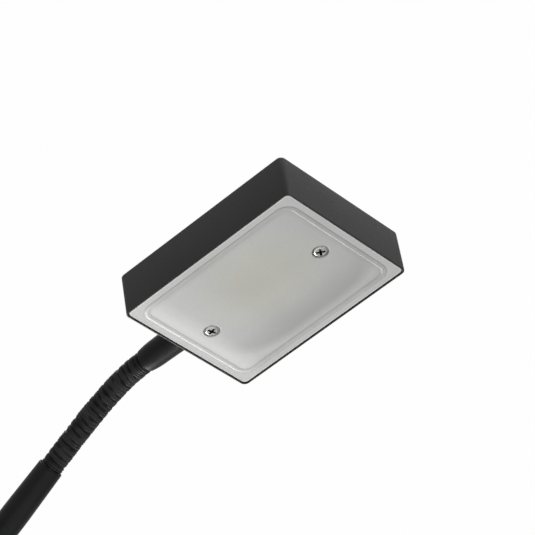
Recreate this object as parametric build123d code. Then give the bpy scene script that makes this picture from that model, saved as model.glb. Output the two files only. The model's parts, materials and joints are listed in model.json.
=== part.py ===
from build123d import *
import os
from math import cos, radians, sin, sqrt

# Picture light: a wall box with a bent arm tube, a gooseneck and a flat LED head.
# Millimetres. The origin is the centre of the wall plate's back face, +X leaves
# the wall, +Z is up, and the arm, neck and head lie in the XZ plane.

os.makedirs("parts", exist_ok=True)

# ---------------------------------------------------------------- overall sizes
base_h = 120.0          # wall box, up the wall
base_w = 64.0           # wall box, across
base_d = 28.0           # wall box, out from the wall
tube_d = 12.2           # arm tube, over its powder coat
tube_wall = 1.1
arm_drop = 24.0         # arm's axis below the top of the wall box
arm_stub = 30.0         # level run in front of the wall box
arm_bend_r = 60.0       # centre-line radius of the arm's one bend
arm_rise = 35.0         # slope of the arm's long run, degrees
arm_run = 120.0         # long straight run, up to the tube ferrule
neck_length = 62.6      # visible gooseneck
neck_d = 10.1           # over the sleeve's ribs
head_rise = 10.5        # slope of the head as the neck is bent at rest, degrees
neck_curl = 2.7         # how much more of the bend is near the head
head_l = 90.0
head_w = 71.0
head_h = 21.0

# ---------------------------------------------------------------- clearances
slip_gap = 0.1          # a part that slips round another
seat_gap = 0.05         # a part that is screwed or glued into another
ball_gap = 0.25         # between the ball and cup faces of two neck links

# ---------------------------------------------------------------- wall box details
plate_t = 2.0
cover_wall = 1.8        # base cover's sheet
plate_gap = 0.2         # plate to the cover's inside
corner_r = 2.5          # upright corners of both housings
edge_r = 1.3            # rounded edges of both housings
tab_t = 2.0
tab_w = 20.0
tab_reach = 12.0
tab_hole = 6.6          # cover screw's hole in a tab, out from the plate
wall_hole_r = 2.25
wall_hole_side = 10.0   # wall screw holes in from the box's sides
wall_hole_end = 15.0    # and from its top and bottom
bracket_w = 24.0
bracket_h = 24.0
bracket_t = 2.0
bracket_reach = 17.0    # from the plate to the front of the bracket's web
bush_flange_r = 11.0
bush_flange_t = 3.0
bush_wall = 2.4
tube_tail = 4.0         # arm tube behind its lock nut
arm_nut_af = 17.0
arm_nut_t = 5.0
driver_t = 18.0
driver_edge_r = 1.5
driver_gap = 2.0        # driver to the plate's edge, the bracket and the terminals
entry_room = 24.0       # strip beside the driver, for the supply cable
ear_l = 6.0
ear_w = 12.0
ear_t = 2.0
entry_side = 12.0       # cable entry in from the plate's edge
entry_z = 4.0
entry_r = 4.0           # grommet's bore
grommet_lip = 2.0
grommet_wall = 2.0
grommet_edge = 0.8      # its lip's chamfer
clamp_z = -14.0
clamp_w = 20.0
clamp_l = 8.0
clamp_t = 8.0
clamp_foot_t = 3.0
clamp_saddle_w = 9.2
clamp_channel_r = 3.4
clamp_screw_y = 7.5     # each side of the cable
terminal_w = 26.0
terminal_l = 12.0
terminal_t = 13.0
terminal_gap = 2.0      # terminals to the cover screw's tip
terminal_pole = 8.0     # each side of the block's middle
terminal_groove = 2.0   # width of the groove between the poles
terminal_groove_depth = 4.0
terminal_screw_r = 2.0
terminal_screw_gap = 0.5    # clamping screw's foot over its wire
terminal_screw_sunk = 1.0
terminal_slot_w = 0.8
terminal_slot_depth = 1.0
wire_level = 8.0        # wires' height over the wall
earth_z = -30.0
tab_screw_tip = 3.0     # cover screw past its tab
plate_screw_stop = 0.3  # screws in the plate stop this far from the wall
driver_pole = 3.2       # driver's wires, each side of its middle
wire_straight = 2.5     # wires straight out of the driver
wire_lead_in = 2.0      # and straight into the terminals
wire_bend_r = 1.8

# ---------------------------------------------------------------- neck details
neck_hinges = 8
sleeve_rib = 0.35       # height of a rib over the valleys
sleeve_wall = 0.5       # sleeve at a valley
coil_wall = 1.55
lead_r = 1.6            # two-core lead in the arm and neck
ball_lift = 0.15        # ball face's radius over the sleeve's outside radius
rib_pitch = 3.06
mouth_depth = 8.0       # sleeve inside the tube ferrule
coil_seat = 10.0        # coil beyond the sleeve, in each ferrule
ferrule_l = 30.0        # tube ferrule, mouth to tube
ferrule_taper = 24.0
ferrule_mouth_wall = 0.5
spigot_l = 12.0
ferrule_lip_round = 0.3 # mouth's chamfer along the tube
lead_room = 0.8         # hole round the lead, in the tube ferrule
lead_off_plate = 1.4    # lead's way up the wall box, clear of the plate
lead_tail = 4.0         # level run of the lead before it enters the tube

# ---------------------------------------------------------------- head details
head_wall = 2.3         # side walls
head_back = 2.2         # back wall
cavity_corner_r = 3.0
lip_t = 0.8             # thin lip round the lens cover
lens_gap = 0.1          # lens cover to the lip
lens_recess = 0.4       # lens cover below the lip's edge
lens_t = 2.0
lens_corner_r = 2.0
gasket_t = 0.5
bead_inset = 3.2        # flat flange outside the bead
bead_w = 2.2
bead_h = 0.3
bead_corner_r = 6.0
lens_screw_end = 15.0   # lens screws in from the head's ends
boss_r = 4.0
lens_boss_h = 1.5
lens_screw_bite = 7.0   # lens screw into the housing's boss
boss_floor = 2.0        # under the screw hole in the boss
screw_tip_gap = 0.4     # board screw's tip to the bottom of its hole
counterbore_r = 3.5
counterbore_depth = 1.4
pedestal_l = 36.0
pedestal_w = 32.0
pad_t = 0.5
board_l = 34.0
board_w = 30.0
board_t = 1.6
board_corner_r = 2.0    # and the pad's and the pedestal's
board_screw_inset = 4.0
chip_side = 13.5
chip_t = 0.5
chip_corner_r = 1.0
phosphor_r = 4.5
phosphor_t = 0.4
tray_t = 1.0
tray_front_gap = 0.2    # tray to the back of the lens cover
tray_floor_inset = 3.2  # floor inside the rim, each side
post_r = 2.0
post_x = 22.0
post_y = 20.0
tray_window_r = 7.5
chip_depth = 8.0        # phosphor behind the lens cover
head_ferrule_l = 21.5
ferrule_nose_l = 4.0
ferrule_nose_rise = 0.5
ferrule_foot_r = 6.1
neck_drop = 0.7         # neck's axis towards the light, from the head's middle
nipple_r = 4.0
nipple_bore_r = 2.6
nipple_seat = 8.0       # nipple inside the head ferrule
head_nut_af = 11.0
head_nut_t = 3.5
nipple_tail = 0.8       # nipple past its nut
wire_r = 0.6
wire_side = 5.6         # wires' way round the screw boss
wire_pair = 0.75        # each side of the lead's middle, where the jacket ends
pad_pole = 4.0          # board's solder pads, each side of its middle
pad_inset = 2.0         # and in from its edge
boss_clear = 1.0        # wires clear of the boss on the way in
boss_past = 3.0         # and past it before they close again
jacket_end = 1.0        # lead's jacket past the head's end face
head_wire_bend_r = 1.5

# ---------------------------------------------------------------- screws
m3_r = 1.45
m3_head_r = 2.7
m3_head_h = 1.6
lens_head_r = 2.95
lens_head_h = 1.5
cross_w = 0.7
cross_span = 3.5
cross_depth = 0.8


# ---------------------------------------------------------------- helpers
def save(node, shape):
    """Write one sub-part."""
    export_step(shape, "parts/" + node + ".step")


def group(shapes):
    """Several separate solids that share one node."""
    return Compound([piece for shape in shapes for piece in shape.solids()])


def block(x0, x1, y0, y1, z0, z1):
    """Box between two corners."""
    return Pos((x0 + x1) / 2, (y0 + y1) / 2, (z0 + z1) / 2) * Box(x1 - x0, y1 - y0, z1 - z0)


def rod(r, x0, x1, y=0.0, z=0.0):
    """Cylinder along X."""
    return Pos((x0 + x1) / 2, y, z) * Rot(0, 90, 0) * Cylinder(r, x1 - x0)


def post(r, z0, z1, x=0.0, y=0.0):
    """Cylinder along Z."""
    return Pos(x, y, (z0 + z1) / 2) * Cylinder(r, z1 - z0)


def slab(length, width, corner, z0, z1):
    """Plate with rounded corners, between two levels."""
    return Pos(0, 0, z0) * extrude(RectangleRounded(length, width, corner), z1 - z0)


def turned(points):
    """Solid of revolution about X from its (x, radius) outline."""
    return revolve(make_face(Plane.XZ * Polyline(*points, close=True)), Axis.X, 360)


def hex_nut(across_flats, bore_r, x0, x1, turn=0.0):
    """Nut on the X axis."""
    body = Rot(0, 90, 0) * Rot(0, 0, turn) * extrude(
        RegularPolygon(across_flats / 2, 6, major_radius=False), x1 - x0)
    return Pos(x0, 0, 0) * body - rod(bore_r, x0, x1)


def cross_screw(head_r, head_h, shank_r, length, turn=0.0):
    """Pan-head screw down -Z, with its head's seat at the origin."""
    head = post(head_r, 0, head_h)
    rim = head.edges().filter_by(GeomType.CIRCLE).group_by(Axis.Z)[-1]
    head = fillet(rim, head_h * 0.4)
    bar = Box(cross_span, cross_w, cross_depth)
    bars = Rot(0, 0, turn) * (bar + Rot(0, 0, 90) * bar)
    recess = Pos(0, 0, head_h - cross_depth / 2) * bars
    return (head - recess) + post(shank_r, -length, 0)


def side_points(x, y):
    """The four points at plus and minus x and y."""
    return [(sx * x, sy * y) for sx in (-1, 1) for sy in (-1, 1)]


# ---------------------------------------------------------------- arm, neck and head frames
tube_r = tube_d / 2
tube_bore_r = tube_r - tube_wall
sleeve_top_r = neck_d / 2
sleeve_root_r = sleeve_top_r - sleeve_rib
sleeve_bore_r = sleeve_root_r - sleeve_wall
coil_r = sleeve_bore_r - seat_gap
coil_bore_r = coil_r - coil_wall
ball_r = sleeve_top_r + ball_lift
cup_r = ball_r + ball_gap
neck_bend = arm_rise - head_rise
link_pitch = neck_length / neck_hinges

# The seam between two links lies half way between the rims of the ball and the cup.
seam_ahead = (sqrt(ball_r ** 2 - sleeve_root_r ** 2) + sqrt(cup_r ** 2 - sleeve_root_r ** 2)) / 2
first_pivot = link_pitch / 2 - seam_ahead


def along(start, slope, distance):
    """Point in the XZ plane, a distance up a slope in degrees."""
    return (start[0] + distance * cos(radians(slope)), start[1] + distance * sin(radians(slope)))


def sloped(point, slope):
    """Plane with its x axis up a slope and its z axis square to it, upwards."""
    turn = radians(slope)
    return Plane(
        origin=(point[0], 0, point[1]), x_dir=(cos(turn), 0, sin(turn)), z_dir=(-sin(turn), 0, cos(turn))
    )


def neck_slope(distance):
    """Slope of the neck at a distance from the ferrule's mouth."""
    return head_rise + neck_bend * (1 - (distance / neck_length) ** neck_curl)


arm_level = base_h / 2 - arm_drop
bend_start = (base_d + arm_stub, arm_level)
bend_end = (
    bend_start[0] + arm_bend_r * sin(radians(arm_rise)),
    bend_start[1] + arm_bend_r * (1 - cos(radians(arm_rise))),
)
tube_end = along(bend_end, arm_rise, arm_run)
mouth = along(tube_end, arm_rise, ferrule_l)

link_slopes = [arm_rise]
pivots = [along(mouth, arm_rise, first_pivot)]
for link in range(1, neck_hinges):
    link_slopes.append(neck_slope(first_pivot + (link - 0.5) * link_pitch))
    pivots.append(along(pivots[-1], link_slopes[-1], link_pitch))
link_slopes.append(head_rise)
stub_left = neck_length - first_pivot - (neck_hinges - 1) * link_pitch
neck_top = along(pivots[-1], head_rise, stub_left)

face_x = -head_l / 2                      # head's end face, in the head's frame
neck_top_x = face_x - head_ferrule_l
axis_point = along(neck_top, head_rise, -neck_top_x)
head_frame = sloped(along(axis_point, head_rise + 90, neck_drop), head_rise)
mouth_frame = sloped(mouth, arm_rise)
link_frames = [sloped(pivots[k - 1], link_slopes[k]) for k in range(1, neck_hinges)]
top_frame = sloped(pivots[-1], head_rise)


# ---------------------------------------------------------------- wall plate
inside_w = base_w - 2 * cover_wall
inside_h = base_h - 2 * cover_wall
inside_d = base_d - cover_wall
plate_w = inside_w - 2 * plate_gap
plate_h = inside_h - 2 * plate_gap
wall_hole_y = base_w / 2 - wall_hole_side
wall_hole_z = base_h / 2 - wall_hole_end
web_x = plate_t + bracket_reach
tab_screw_x = plate_t + tab_hole
tab_screw_l = cover_wall + plate_gap + tab_t + tab_screw_tip
terminal_z = tab_screw_l + terminal_gap + terminal_l / 2 - base_h / 2
driver_bottom = terminal_z + terminal_l / 2 + driver_gap + ear_l
driver_top = arm_level - bracket_h / 2 - driver_gap - ear_l
driver_l = driver_top - driver_bottom
driver_z = (driver_top + driver_bottom) / 2
driver_w = plate_w - driver_gap - entry_room
driver_y = driver_gap + driver_w / 2 - plate_w / 2
entry_y = plate_w / 2 - entry_side
earth_y = entry_y
ear_z = driver_l / 2 + ear_l / 2
ear_places = [driver_z - ear_z, driver_z + ear_z]
clamp_places = [entry_y - clamp_screw_y, entry_y + clamp_screw_y]
m3_hole_r = m3_r + seat_gap
groove_r = entry_r + grommet_wall


def wall_plate():
    body = block(0, plate_t, -plate_w / 2, plate_w / 2, -plate_h / 2, plate_h / 2)
    low = arm_level - bracket_h / 2
    high = arm_level + bracket_h / 2
    half = bracket_w / 2
    for side in (-1, 1):
        edge = sorted((side * half, side * (half - bracket_t)))
        body += block(0, web_x, edge[0], edge[1], low, high)
        tab = sorted((side * plate_h / 2, side * (plate_h / 2 - tab_t)))
        body += block(0, plate_t + tab_reach, -tab_w / 2, tab_w / 2, tab[0], tab[1])
    body += block(web_x - bracket_t, web_x, -half, half, low, high)
    body -= rod(tube_r + slip_gap, plate_t, web_x + 1, 0, arm_level)
    body -= post(m3_hole_r, -base_h, base_h, tab_screw_x, 0)
    body -= rod(groove_r, -1, plate_t + 1, entry_y, entry_z)
    body -= rod(m3_hole_r, -1, plate_t + 1, earth_y, earth_z)
    for y, z in side_points(wall_hole_y, wall_hole_z):
        body -= rod(wall_hole_r, -1, plate_t + 1, y, z)
    for z in ear_places:
        body -= rod(m3_hole_r, -1, plate_t + 1, driver_y, z)
    for y in clamp_places:
        body -= rod(m3_hole_r, -1, plate_t + 1, y, clamp_z)
    return body


def base_cover():
    body = block(0, base_d, -base_w / 2, base_w / 2, -base_h / 2, base_h / 2)
    body = fillet(body.edges().filter_by(Axis.X), corner_r)
    body = fillet(body.edges().group_by(Axis.X)[-1], edge_r)
    body -= block(-1, inside_d, -inside_w / 2, inside_w / 2, -inside_h / 2, inside_h / 2)
    body -= rod(bush_r + slip_gap, inside_d - 1, base_d + 1, 0, arm_level)
    body -= post(m3_r + slip_gap, -base_h, base_h, tab_screw_x, 0)
    return body


def base_cover_screws():
    screw = cross_screw(m3_head_r, m3_head_h, m3_r, tab_screw_l, 20)
    top = Pos(tab_screw_x, 0, base_h / 2) * screw
    bottom = Pos(tab_screw_x, 0, -base_h / 2) * Rot(180, 0, 0) * screw
    return group([top, bottom])


# ---------------------------------------------------------------- arm fixing
bush_r = tube_r + bush_wall


def arm_bush():
    """Flanged collar that fills the cover's hole and steadies the tube."""
    flange_x = base_d + slip_gap
    chamfer_w = bush_flange_t / 3
    outline = [
        (web_x, tube_r + seat_gap), (web_x, bush_r), (flange_x, bush_r), (flange_x, bush_flange_r),
        (flange_x + bush_flange_t - chamfer_w, bush_flange_r),
        (flange_x + bush_flange_t, bush_flange_r - chamfer_w),
        (flange_x + bush_flange_t, tube_r + seat_gap),
    ]
    return Pos(0, 0, arm_level) * turned(outline)


nut_front_x = web_x - bracket_t


def arm_lock_nut():
    nut = hex_nut(arm_nut_af, tube_r + seat_gap, nut_front_x - arm_nut_t, nut_front_x)
    return Pos(0, 0, arm_level) * nut


tube_back_x = nut_front_x - arm_nut_t - tube_tail


def arm_path(back_x, run):
    """Centre line of the arm: level, one bend, then the long slope."""
    start = (back_x, 0, arm_level)
    level_end = (bend_start[0], 0, bend_start[1])
    bend = TangentArc(level_end, (bend_end[0], 0, bend_end[1]), tangent=(1, 0, 0))
    top = along(bend_end, arm_rise, run)
    return Wire([Line(start, level_end), bend, Line(bend @ 1, (top[0], 0, top[1]))])


def arm_tube():
    section = Plane(origin=(tube_back_x, 0, arm_level), z_dir=(1, 0, 0))
    path = arm_path(tube_back_x, arm_run)
    outer = sweep(section * Circle(tube_r), path)
    inner = sweep(section * Circle(tube_bore_r), path)
    return outer - inner


# ---------------------------------------------------------------- driver and wiring
driver_front_x = plate_t + driver_t


def driver():
    left = driver_y - driver_w / 2
    right = driver_y + driver_w / 2
    body = block(plate_t, driver_front_x, left, right, driver_bottom, driver_top)
    body = fillet(body.edges().filter_by(Axis.X) + body.edges().group_by(Axis.X)[-1], driver_edge_r)
    ears = block(
        plate_t, plate_t + ear_t, driver_y - ear_w / 2, driver_y + ear_w / 2,
        driver_bottom - ear_l, driver_top + ear_l)
    body += ears
    for z in ear_places:
        body -= rod(m3_r + slip_gap, 0, plate_t + ear_t + 1, driver_y, z)
    return body


def plate_screws(places, seat_x):
    """Screws that go into the wall plate and stop short of the wall."""
    screw = Rot(0, 90, 0) * cross_screw(m3_head_r, m3_head_h, m3_r, seat_x - plate_screw_stop)
    return group([Pos(seat_x, y, z) * screw for y, z in places])


def driver_screws():
    return plate_screws([(driver_y, z) for z in ear_places], plate_t + ear_t)


terminal_well_x = wire_level + wire_r + terminal_screw_gap


def terminal_block():
    low = terminal_z - terminal_l / 2
    high = terminal_z + terminal_l / 2
    body = block(plate_t, plate_t + terminal_t, -terminal_w / 2, terminal_w / 2, low, high)
    groove = terminal_groove / 2
    groove_x = plate_t + terminal_t - terminal_groove_depth
    body -= block(groove_x, plate_t + terminal_t + 1, -groove, groove, low - 1, high + 1)
    for y in (-terminal_pole, terminal_pole):
        body -= post(wire_r + 2 * slip_gap, low - 1, high + 1, wire_level, y)
        body -= rod(terminal_screw_r + slip_gap, terminal_well_x, plate_t + terminal_t + 1, y, terminal_z)
    return body


def terminal_screws():
    """Clamping screws over the two wires."""
    top_x = plate_t + terminal_t - terminal_screw_sunk
    across = terminal_screw_r + 1
    half_slot = terminal_slot_w / 2
    screws = []
    for y in (-terminal_pole, terminal_pole):
        body = rod(terminal_screw_r, terminal_well_x + slip_gap, top_x, y, terminal_z)
        slot = block(top_x - terminal_slot_depth, top_x + 1, y - across, y + across,
                     terminal_z - half_slot, terminal_z + half_slot)
        screws.append(body - slot)
    return group(screws)


def wire(points, radius, radii):
    """Wire along straight runs joined by arcs."""
    path = FilletPolyline(*points, radius=radii)
    start = Vector(*points[0])
    section = Plane(origin=start, z_dir=Vector(*points[1]) - start)
    return sweep(section * Circle(radius), Wire(path.edges()))


def driver_leads():
    """Two wires from the driver's lower end into the terminal block."""
    wires = []
    for side in (-1, 1):
        start_y = driver_y + side * driver_pole
        end_y = side * terminal_pole
        points = [
            (wire_level, start_y, driver_bottom), (wire_level, start_y, driver_bottom - wire_straight),
            (wire_level, end_y, terminal_z + terminal_l / 2 + wire_lead_in), (wire_level, end_y, terminal_z),
        ]
        wires.append(wire(points, wire_r, wire_bend_r))
    return group(wires)


def cable_grommet():
    """Rubber bush in the plate's cable hole, flush with the wall side."""
    bore = entry_r
    neck = groove_r - slip_gap
    lip = groove_r + grommet_lip
    outline = [
        (0, bore), (0, neck), (plate_t, neck), (plate_t, lip),
        (plate_t + grommet_lip, lip - grommet_edge), (plate_t + grommet_lip, bore),
    ]
    return Pos(0, entry_y, entry_z) * turned(outline)


def cable_clamp():
    """Saddle that would grip the supply cable against the plate."""
    low = clamp_z - clamp_l / 2
    high = clamp_z + clamp_l / 2
    half = clamp_w / 2
    saddle = clamp_saddle_w / 2
    body = block(plate_t, plate_t + clamp_foot_t, entry_y - half, entry_y + half, low, high)
    body += block(plate_t, plate_t + clamp_t, entry_y - saddle, entry_y + saddle, low, high)
    body -= post(clamp_channel_r, low - 1, high + 1, plate_t + clamp_channel_r, entry_y)
    body -= block(0, plate_t + clamp_channel_r, entry_y - clamp_channel_r, entry_y + clamp_channel_r,
                  low - 1, high + 1)
    for y in clamp_places:
        body -= rod(m3_r + slip_gap, 0, plate_t + clamp_t, y, clamp_z)
    return body


def cable_clamp_screws():
    return plate_screws([(y, clamp_z) for y in clamp_places], plate_t + clamp_foot_t)


def earth_screw():
    return plate_screws([(earth_y, earth_z)], plate_t + slip_gap)


# ---------------------------------------------------------------- neck
def ball_x(centre, radius, r):
    """Where a ball or cup face stands at one radius from the axis."""
    return centre + sqrt(radius ** 2 - r ** 2)


def section_end(low_r, high_r, centre, radius, flat):
    """Edge of one end of a neck section, from its inner to its outer radius."""
    if flat is not None:
        return Line((flat, 0, low_r), (flat, 0, high_r))
    points = [(ball_x(centre, radius, r), 0, r) for r in (low_r, (low_r + high_r) / 2, high_r)]
    return ThreePointArc(*points)


def neck_section(low_r, high_r, rear_flat=None, front_flat=None, rear=0.0, front=link_pitch, rib=0.0):
    """Turned section of the neck: a cup face behind and a ball face in front.

    The cup is centred on the pivot behind and the ball on the pivot in front, so
    two sections keep their gap however the pivot between them is turned.
    """
    back = section_end(low_r, high_r, rear, cup_r, rear_flat)
    nose = section_end(low_r, high_r, front, ball_r, front_flat)
    back_x = (back @ 1).X
    nose_x = (nose @ 1).X
    edges = [back, nose, Line(back @ 0, nose @ 0)]
    if rib > 0:
        count = max(1, round((nose_x - back_x) / rib_pitch))
        step = (nose_x - back_x) / count
        for k in range(count):
            x0 = back_x + k * step
            edges.append(ThreePointArc(
                (x0, 0, high_r), (x0 + step / 2, 0, high_r + rib), (x0 + step, 0, high_r)))
    else:
        edges.append(Line(back @ 1, nose @ 1))
    return revolve(make_face(Wire.combine(edges)[0]), Axis.X, 360)


coil_back = -(mouth_depth + coil_seat)
coil_front = stub_left + coil_seat


def neck_coils():
    """Steel coil, one section to each body, from the tube's end to the head's."""
    first = neck_section(coil_bore_r, coil_r, rear_flat=coil_back, front=first_pivot)
    middle = neck_section(coil_bore_r, coil_r)
    last = neck_section(coil_bore_r, coil_r, front_flat=coil_front)
    return [mouth_frame * first] + [frame * middle for frame in link_frames] + [top_frame * last]


def neck_sleeves():
    """Ribbed black sleeve over the coil, one section to each body."""
    sizes = (sleeve_bore_r, sleeve_root_r)
    first = neck_section(*sizes, rear_flat=-mouth_depth, front=first_pivot, rib=sleeve_rib)
    middle = neck_section(*sizes, rib=sleeve_rib)
    last = neck_section(*sizes, front_flat=stub_left - seat_gap, rib=sleeve_rib)
    return [mouth_frame * first] + [frame * middle for frame in link_frames] + [top_frame * last]


def neck_leads():
    """Two-core lead inside the moving links."""
    middle = neck_section(0, lead_r)
    return [frame * middle for frame in link_frames]


def tube_ferrule():
    """Tapered ferrule on the arm tube, with a wide mouth for the sleeve."""
    mouth_r = sleeve_top_r + seat_gap
    lip_r = mouth_r + ferrule_mouth_wall
    step_x = coil_back - slip_gap
    lead_hole_r = lead_r + lead_room
    outline = [
        (0, mouth_r), (0, lip_r - ferrule_lip_round / 2), (-ferrule_lip_round, lip_r), (-ferrule_taper, tube_r), (-ferrule_l, tube_r),
        (-ferrule_l, tube_bore_r - seat_gap), (-ferrule_l - spigot_l, tube_bore_r - seat_gap),
        (-ferrule_l - spigot_l, lead_hole_r), (step_x, lead_hole_r), (step_x, coil_r + seat_gap),
        (-mouth_depth - slip_gap, coil_r + seat_gap), (-mouth_depth - slip_gap, mouth_r),
    ]
    return mouth_frame * turned(outline)


def arm_lead():
    """Lead from the driver, up through the tube, to the first pivot of the neck."""
    turn_x = plate_t + lead_r + lead_off_plate
    inlet_x = tube_back_x + lead_tail
    points = [(turn_x, 0, driver_top), (turn_x, 0, arm_level), (inlet_x, 0, arm_level)]
    inlet = wire(points, lead_r, lead_r * 2)
    section = Plane(origin=(inlet_x, 0, arm_level), z_dir=(1, 0, 0))
    run = sweep(section * Circle(lead_r), arm_path(inlet_x, arm_run + ferrule_l + coil_back))
    tip = mouth_frame * neck_section(0, lead_r, rear_flat=coil_back, front=first_pivot)
    return inlet + run + tip


# ---------------------------------------------------------------- head, in its own frame
half_h = head_h / 2
front_z = -half_h                          # the lip's edge, on the light's side
lens_front_z = front_z + lens_recess
lens_back_z = lens_front_z + lens_t
ledge_z = lens_back_z + gasket_t
ceiling_z = half_h - head_back
boss_end_z = lens_back_z + lens_boss_h
phosphor_z = lens_back_z + chip_depth
board_front_z = phosphor_z + phosphor_t + chip_t
board_back_z = board_front_z + board_t
pedestal_z = board_back_z + pad_t
tray_back_z = board_front_z - m3_head_h - slip_gap
lens_l = head_l - 2 * (lip_t + lens_gap)
lens_w = head_w - 2 * (lip_t + lens_gap)
cavity_l = head_l - 2 * head_wall
cavity_w = head_w - 2 * head_wall
board_screw_x = board_l / 2 - board_screw_inset
board_screw_y = board_w / 2 - board_screw_inset
board_screws_at = [(board_screw_x, board_screw_y), (-board_screw_x, -board_screw_y)]
lens_screw_x = head_l / 2 - lens_screw_end
lens_screws_at = [(-lens_screw_x, 0), (lens_screw_x, 0)]
tray_l = lens_l - 2 * bead_inset - bead_w * 2
tray_w = lens_w - 2 * bead_inset - bead_w * 2
tray_corner_r = bead_corner_r - tray_t


def head_housing():
    body = Box(head_l, head_w, head_h)
    body = fillet(body.edges().filter_by(Axis.Z), corner_r)
    body = fillet(body.edges().group_by(Axis.Z)[-1], edge_r)
    body = fillet(body.edges().group_by(Axis.Z)[0], lip_t * 0.45)
    rebate_corner = lens_corner_r + lens_gap
    body -= slab(head_l - 2 * lip_t, head_w - 2 * lip_t, rebate_corner, front_z - 1, ledge_z)
    body -= slab(cavity_l, cavity_w, cavity_corner_r, ledge_z - 1, ceiling_z)
    body += slab(pedestal_l, pedestal_w, board_corner_r, pedestal_z, ceiling_z)
    for x, y in lens_screws_at:
        body += post(boss_r, boss_end_z, ceiling_z, x, y)
        body -= post(m3_hole_r, boss_end_z - 1, ceiling_z - boss_floor, x, y)
    for x, y in side_points(post_x, post_y):
        body += post(post_r, tray_back_z, ceiling_z, x, y)
    for x, y in board_screws_at:
        body -= post(m3_hole_r, pedestal_z - 1, ceiling_z, x, y)
    body -= rod(nipple_r + slip_gap, face_x - 1, face_x + head_wall + 1, 0, -neck_drop)
    return body


def thermal_pad():
    body = slab(board_l, board_w, board_corner_r, board_back_z, pedestal_z)
    for x, y in board_screws_at:
        body -= post(m3_r + slip_gap, board_back_z - 1, pedestal_z + 1, x, y)
    return body


def led_board():
    body = slab(board_l, board_w, board_corner_r, board_front_z, board_back_z)
    for x, y in board_screws_at:
        body -= post(m3_r + slip_gap, board_front_z - 1, board_back_z + 1, x, y)
    return body


def led_chip():
    return slab(chip_side, chip_side, chip_corner_r, board_front_z - chip_t, board_front_z)


def led_phosphor():
    return post(phosphor_r, phosphor_z, board_front_z - chip_t)


def led_board_screws():
    length = board_t + pad_t + (ceiling_z - pedestal_z) - screw_tip_gap
    screw = Rot(180, 0, 0) * cross_screw(m3_head_r, m3_head_h, m3_r, length)
    return group([Pos(x, y, board_front_z) * screw for x, y in board_screws_at])


def reflector_tray():
    """White tray: flat floor round the light, sloping sides up to the bead."""
    rim_z = lens_back_z + tray_front_gap
    floor_l = tray_l - 2 * tray_floor_inset
    floor_w = tray_w - 2 * tray_floor_inset
    skin = 2 * tray_t
    outer = loft([
        Pos(0, 0, rim_z) * RectangleRounded(tray_l, tray_w, tray_corner_r),
        Pos(0, 0, tray_back_z) * RectangleRounded(floor_l, floor_w, tray_corner_r),
    ])
    inner = loft([
        Pos(0, 0, rim_z) * RectangleRounded(tray_l - skin, tray_w - skin, tray_corner_r - tray_t),
        Pos(0, 0, tray_back_z - tray_t) * RectangleRounded(
            floor_l - skin, floor_w - skin, tray_corner_r - tray_t),
    ])
    body = outer - inner - post(tray_window_r, rim_z, tray_back_z + 1)
    for x, y in lens_screws_at:
        body -= post(boss_r + slip_gap, rim_z - 1, tray_back_z + 1, x, y)
    return body


def lens_gasket():
    outer = slab(lens_l - 2 * slip_gap, lens_w - 2 * slip_gap, lens_corner_r, lens_back_z, ledge_z)
    return outer - slab(cavity_l, cavity_w, cavity_corner_r, lens_back_z - 1, ledge_z + 1)


def lens_cover():
    """Frosted cover: flat flange, rounded bead, and a boss behind each screw."""
    body = slab(lens_l, lens_w, lens_corner_r, lens_front_z, lens_back_z)
    for x, y in lens_screws_at:
        body += post(boss_r, lens_back_z, boss_end_z, x, y)
    bead_l = lens_l - 2 * bead_inset
    bead_across = lens_w - 2 * bead_inset
    bead_z = lens_front_z - bead_h
    bead = slab(bead_l, bead_across, bead_corner_r, bead_z, lens_front_z)
    bead -= slab(bead_l - 2 * bead_w, bead_across - 2 * bead_w, bead_corner_r - bead_w,
                 bead_z - 1, lens_front_z + 1)
    bead = chamfer(bead.edges().group_by(Axis.Z)[0], bead_h * 0.8)
    body += bead
    for x, y in lens_screws_at:
        body -= post(m3_r + slip_gap, lens_front_z - 1, boss_end_z + 1, x, y)
        body -= post(counterbore_r, lens_front_z - 1, lens_front_z + counterbore_depth, x, y)
    return body


def lens_screws():
    length = boss_end_z - lens_front_z - counterbore_depth + lens_screw_bite
    screws = []
    for (x, y), turn in zip(lens_screws_at, (12, 55)):
        screw = Rot(180, 0, 0) * cross_screw(lens_head_r, lens_head_h, m3_r, length, turn)
        screws.append(Pos(x, y, lens_front_z + counterbore_depth) * screw)
    return group(screws)


def head_ferrule():
    """Tapered ferrule between the neck's coil and the head's end face."""
    nose_r = sleeve_top_r + seat_gap
    shoulder_r = nose_r + ferrule_nose_rise
    nose_x = neck_top_x + ferrule_nose_l
    seat_x = face_x - nipple_seat
    coil_hole = coil_r + seat_gap
    edges = [
        Line((neck_top_x, 0, coil_hole), (neck_top_x, 0, nose_r)),
        ThreePointArc((neck_top_x, 0, nose_r),
                      (neck_top_x + ferrule_nose_l * 0.4, 0, nose_r + ferrule_nose_rise * 0.65),
                      (nose_x, 0, shoulder_r)),
        Polyline(
            (nose_x, 0, shoulder_r), (face_x, 0, ferrule_foot_r), (face_x, 0, nipple_r + seat_gap),
            (seat_x, 0, nipple_r + seat_gap), (seat_x, 0, coil_hole), (neck_top_x, 0, coil_hole)),
    ]
    body = revolve(make_face(Wire.combine([e for part in edges for e in part.edges()])[0]), Axis.X, 360)
    return Pos(0, 0, -neck_drop) * body


nut_back_x = face_x + head_wall + head_nut_t


def head_nipple():
    body = rod(nipple_r, face_x - nipple_seat, nut_back_x + nipple_tail)
    body -= rod(nipple_bore_r, face_x - nipple_seat - 1, nut_back_x + nipple_tail + 1)
    return Pos(0, 0, -neck_drop) * body


def head_lock_nut():
    nut = hex_nut(head_nut_af, nipple_r + seat_gap, face_x + head_wall, nut_back_x, 30)
    return Pos(0, 0, -neck_drop) * nut


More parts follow.
